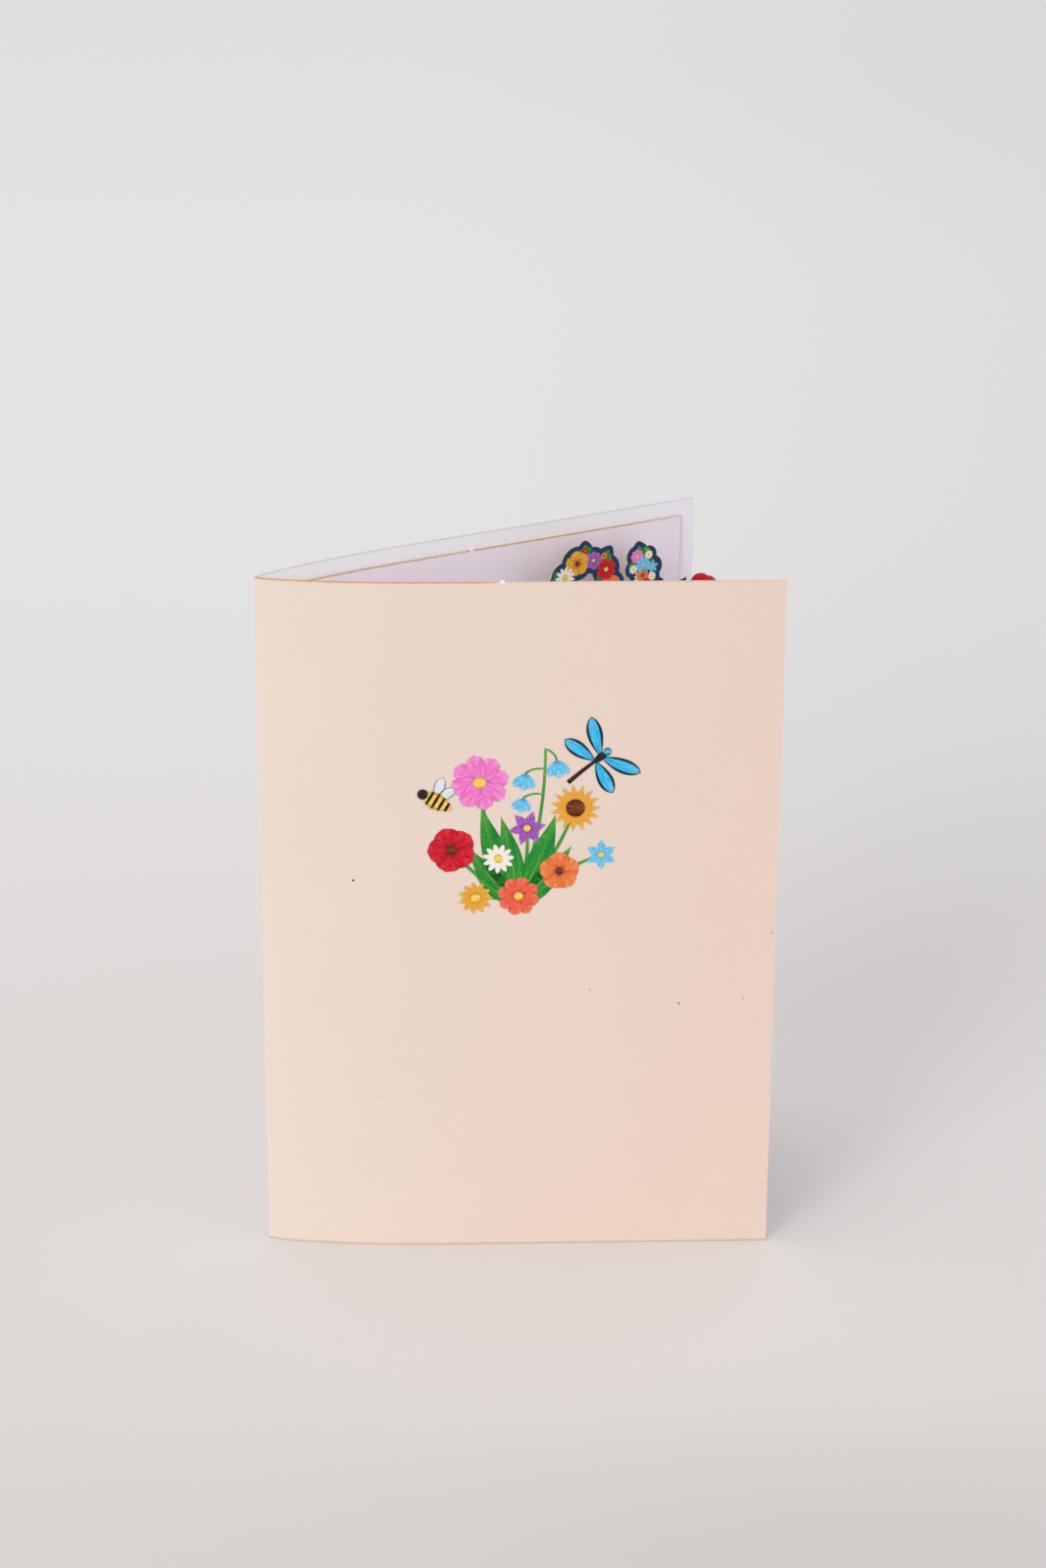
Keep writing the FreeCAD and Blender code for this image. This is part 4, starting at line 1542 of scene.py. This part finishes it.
@dataclass
class Studio:
    """Pale floor, soft light and the camera, placed by the photograph's own view."""
    effects: Effects
    floor_half: float = 6000.0
    focal_pixels: float = 3686.0
    frame_height: int = 1600
    sensor: float = 36.0
    azimuth: float = 16.09
    down: float = 21.31
    roll: float = 0.303
    camera_place: tuple[float, float, float] = (-166.0, -806.6, 445.4)
    clip: tuple[float, float] = (10.0, 50000.0)
    lamp: Lamp = Lamp(33.5, 30.0, 23.0, 0.7, (1.0, 0.985, 0.965))
    sky: Colour = (0.985, 0.985, 1.0)
    sky_strength: float = 0.9

    @staticmethod
    def aim(azimuth: float, down: float, roll: float = 0.0) -> Matrix:
        """Turn of a camera or a lamp that looks along an azimuth and down.

        Args:
            azimuth: level direction in degrees, clockwise from +Y.
            down: degrees below the level.
            roll: turn about its own view in degrees.

        Returns:
            The turn, as a 4 x 4 matrix.
        """
        level = Matrix.Rotation(-math.radians(azimuth), 4, "Z")
        tipped = Matrix.Rotation(math.radians(90.0 - down), 4, "X")
        return level @ tipped @ Matrix.Rotation(math.radians(roll), 4, "Z")

    def add_floor(self) -> None:
        """Add the wide floor."""
        half = self.floor_half * MM
        corners = [(-half, -half, 0), (half, -half, 0), (half, half, 0), (-half, half, 0)]
        mesh = bpy.data.meshes.new("floor")
        mesh.from_pydata(corners, [], [(0, 1, 2, 3)])
        mesh.materials.append(FloorFinish(name="floor_sweep", azimuth=self.azimuth).make(self.effects))
        add_object("floor", mesh)

    def add_lamp(self) -> None:
        """Add the distant lamp that lights card and floor alike."""
        data = bpy.data.lights.new("key", "SUN")
        data.angle = math.radians(self.lamp.spread)
        data.energy = self.lamp.strength
        data.color = self.lamp.colour
        add_object("key", data).matrix_world = self.aim(self.azimuth + self.lamp.left, self.lamp.height)

    def add_camera(self) -> None:
        """Add the camera at the photograph's viewing angle."""
        data = bpy.data.cameras.new("camera")
        data.sensor_fit = "VERTICAL"
        data.sensor_height = self.sensor
        data.lens = self.focal_pixels * self.sensor / self.frame_height
        data.clip_start, data.clip_end = (distance * MM for distance in self.clip)
        camera = add_object("camera", data)
        place = Matrix.Translation(Vector(self.camera_place) * MM)
        camera.matrix_world = place @ self.aim(self.azimuth, self.down, self.roll)
        bpy.context.scene.camera = camera

    def set_up(self) -> None:
        """Build the whole studio."""
        self.add_floor()
        self.add_camera()
        self.add_lamp()
        world = bpy.data.worlds.new("studio")
        world.use_nodes = True
        back = world.node_tree.nodes["Background"]
        back.inputs["Color"].default_value = (*self.sky, 1.0)
        back.inputs["Strength"].default_value = self.sky_strength
        bpy.context.scene.world = world
        bpy.context.scene.view_settings.view_transform = "Standard"


@dataclass
class Card:
    """The card's own sheets and struts, as the frame holds them, in their finishes."""
    effects: Effects
    cover_top: float = 177.8
    liner_top: float = 173.8
    front_burn: Burn = Burn(srgb(216, 144, 72), 0.8, 0.2, 55.8)
    # grey line along the upper edge of the cover's back half
    back_grey_edge: Burn = Burn(srgb(150, 146, 146), 0.25, 0.25, -10.0)
    liner_burn: Burn = Burn(srgb(204, 160, 82), 0.8, 0.85, 58.6)

    @staticmethod
    def reach_of(node: str) -> float:
        """Distance of a sheet's free edges from the origin along X."""
        return max(corner.co.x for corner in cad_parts[node].data.vertices) / MM

    def finishes(self) -> dict[str, Finish]:
        """Finish of each node that has its own.

        Returns:
            The finish by the name of the node.
        """
        # the far inner colours give each inner face painted shade towards its free edge
        cover = SheetFinish(
            name="cover_card", top=self.cover_top, reach=self.reach_of("cover"),
            outer_near=srgb(240, 223, 211), outer_far=srgb(238, 216, 201), inner=srgb(253, 253, 255),
            inner_shaded_far=srgb(245, 242, 253), front=self.front_burn, back=self.back_grey_edge)
        liner = SheetFinish(
            name="liner_card", top=self.liner_top, reach=self.reach_of("liner"),
            outer_near=srgb(240, 232, 233), outer_far=srgb(240, 232, 233), inner=srgb(251, 241, 248),
            inner_shaded_far=srgb(244, 233, 242), front=self.liner_burn, back=self.liner_burn,
            # painted shadow line along the liner's free edge
            free_edge_shadow=ShadeLine(srgb(150, 142, 156), 0.3))
        navy = PaperFinish(name="printed_navy", colour=srgb(40, 62, 98))
        green = PaperFinish(name="printed_green", colour=srgb(24, 84, 44))
        return {"cover": cover, "liner": liner, "first_layer": navy, "second_layer": green}

    def dress(self) -> None:
        """Give every node of the frame its material."""
        paper = PaperFinish(name="plain_paper", colour=srgb(232, 226, 226), tint=0.05)
        plain = paper.make(self.effects)
        own = {node: finish.make(self.effects) for node, finish in self.finishes().items()}
        for node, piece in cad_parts.items():
            piece.data.materials.clear()
            piece.data.materials.append(own.get(node, plain))


def make_inks(effects: Effects) -> dict[Ink, bpy.types.Material]:
    """One material for each ink."""
    return {ink: InkFinish(name=f"ink_{ink.name.lower()}", paint=ink.value).make(effects)
            for ink in Ink}


def main() -> None:
    """Build the studio, dress the card, print it and report each piece."""
    logging.basicConfig(level=logging.INFO, format="%(name)s %(message)s")
    effects = Effects()
    Studio(effects).set_up()
    Card(effects).dress()
    inks = make_inks(effects)
    posy = Posy().build(PrintSheet("front_print", CoverFace(Side.FRONT, Face.OUTER), inks))
    layers = [*WreathPrint().build(inks), *SprigPrint().build(inks)]
    for piece in (*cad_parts.values(), posy, *layers):
        LOG.info("%s: %d faces, %d materials", piece.name, len(piece.data.polygons),
                 len(piece.data.materials))


if __name__ == "__main__":
    main()
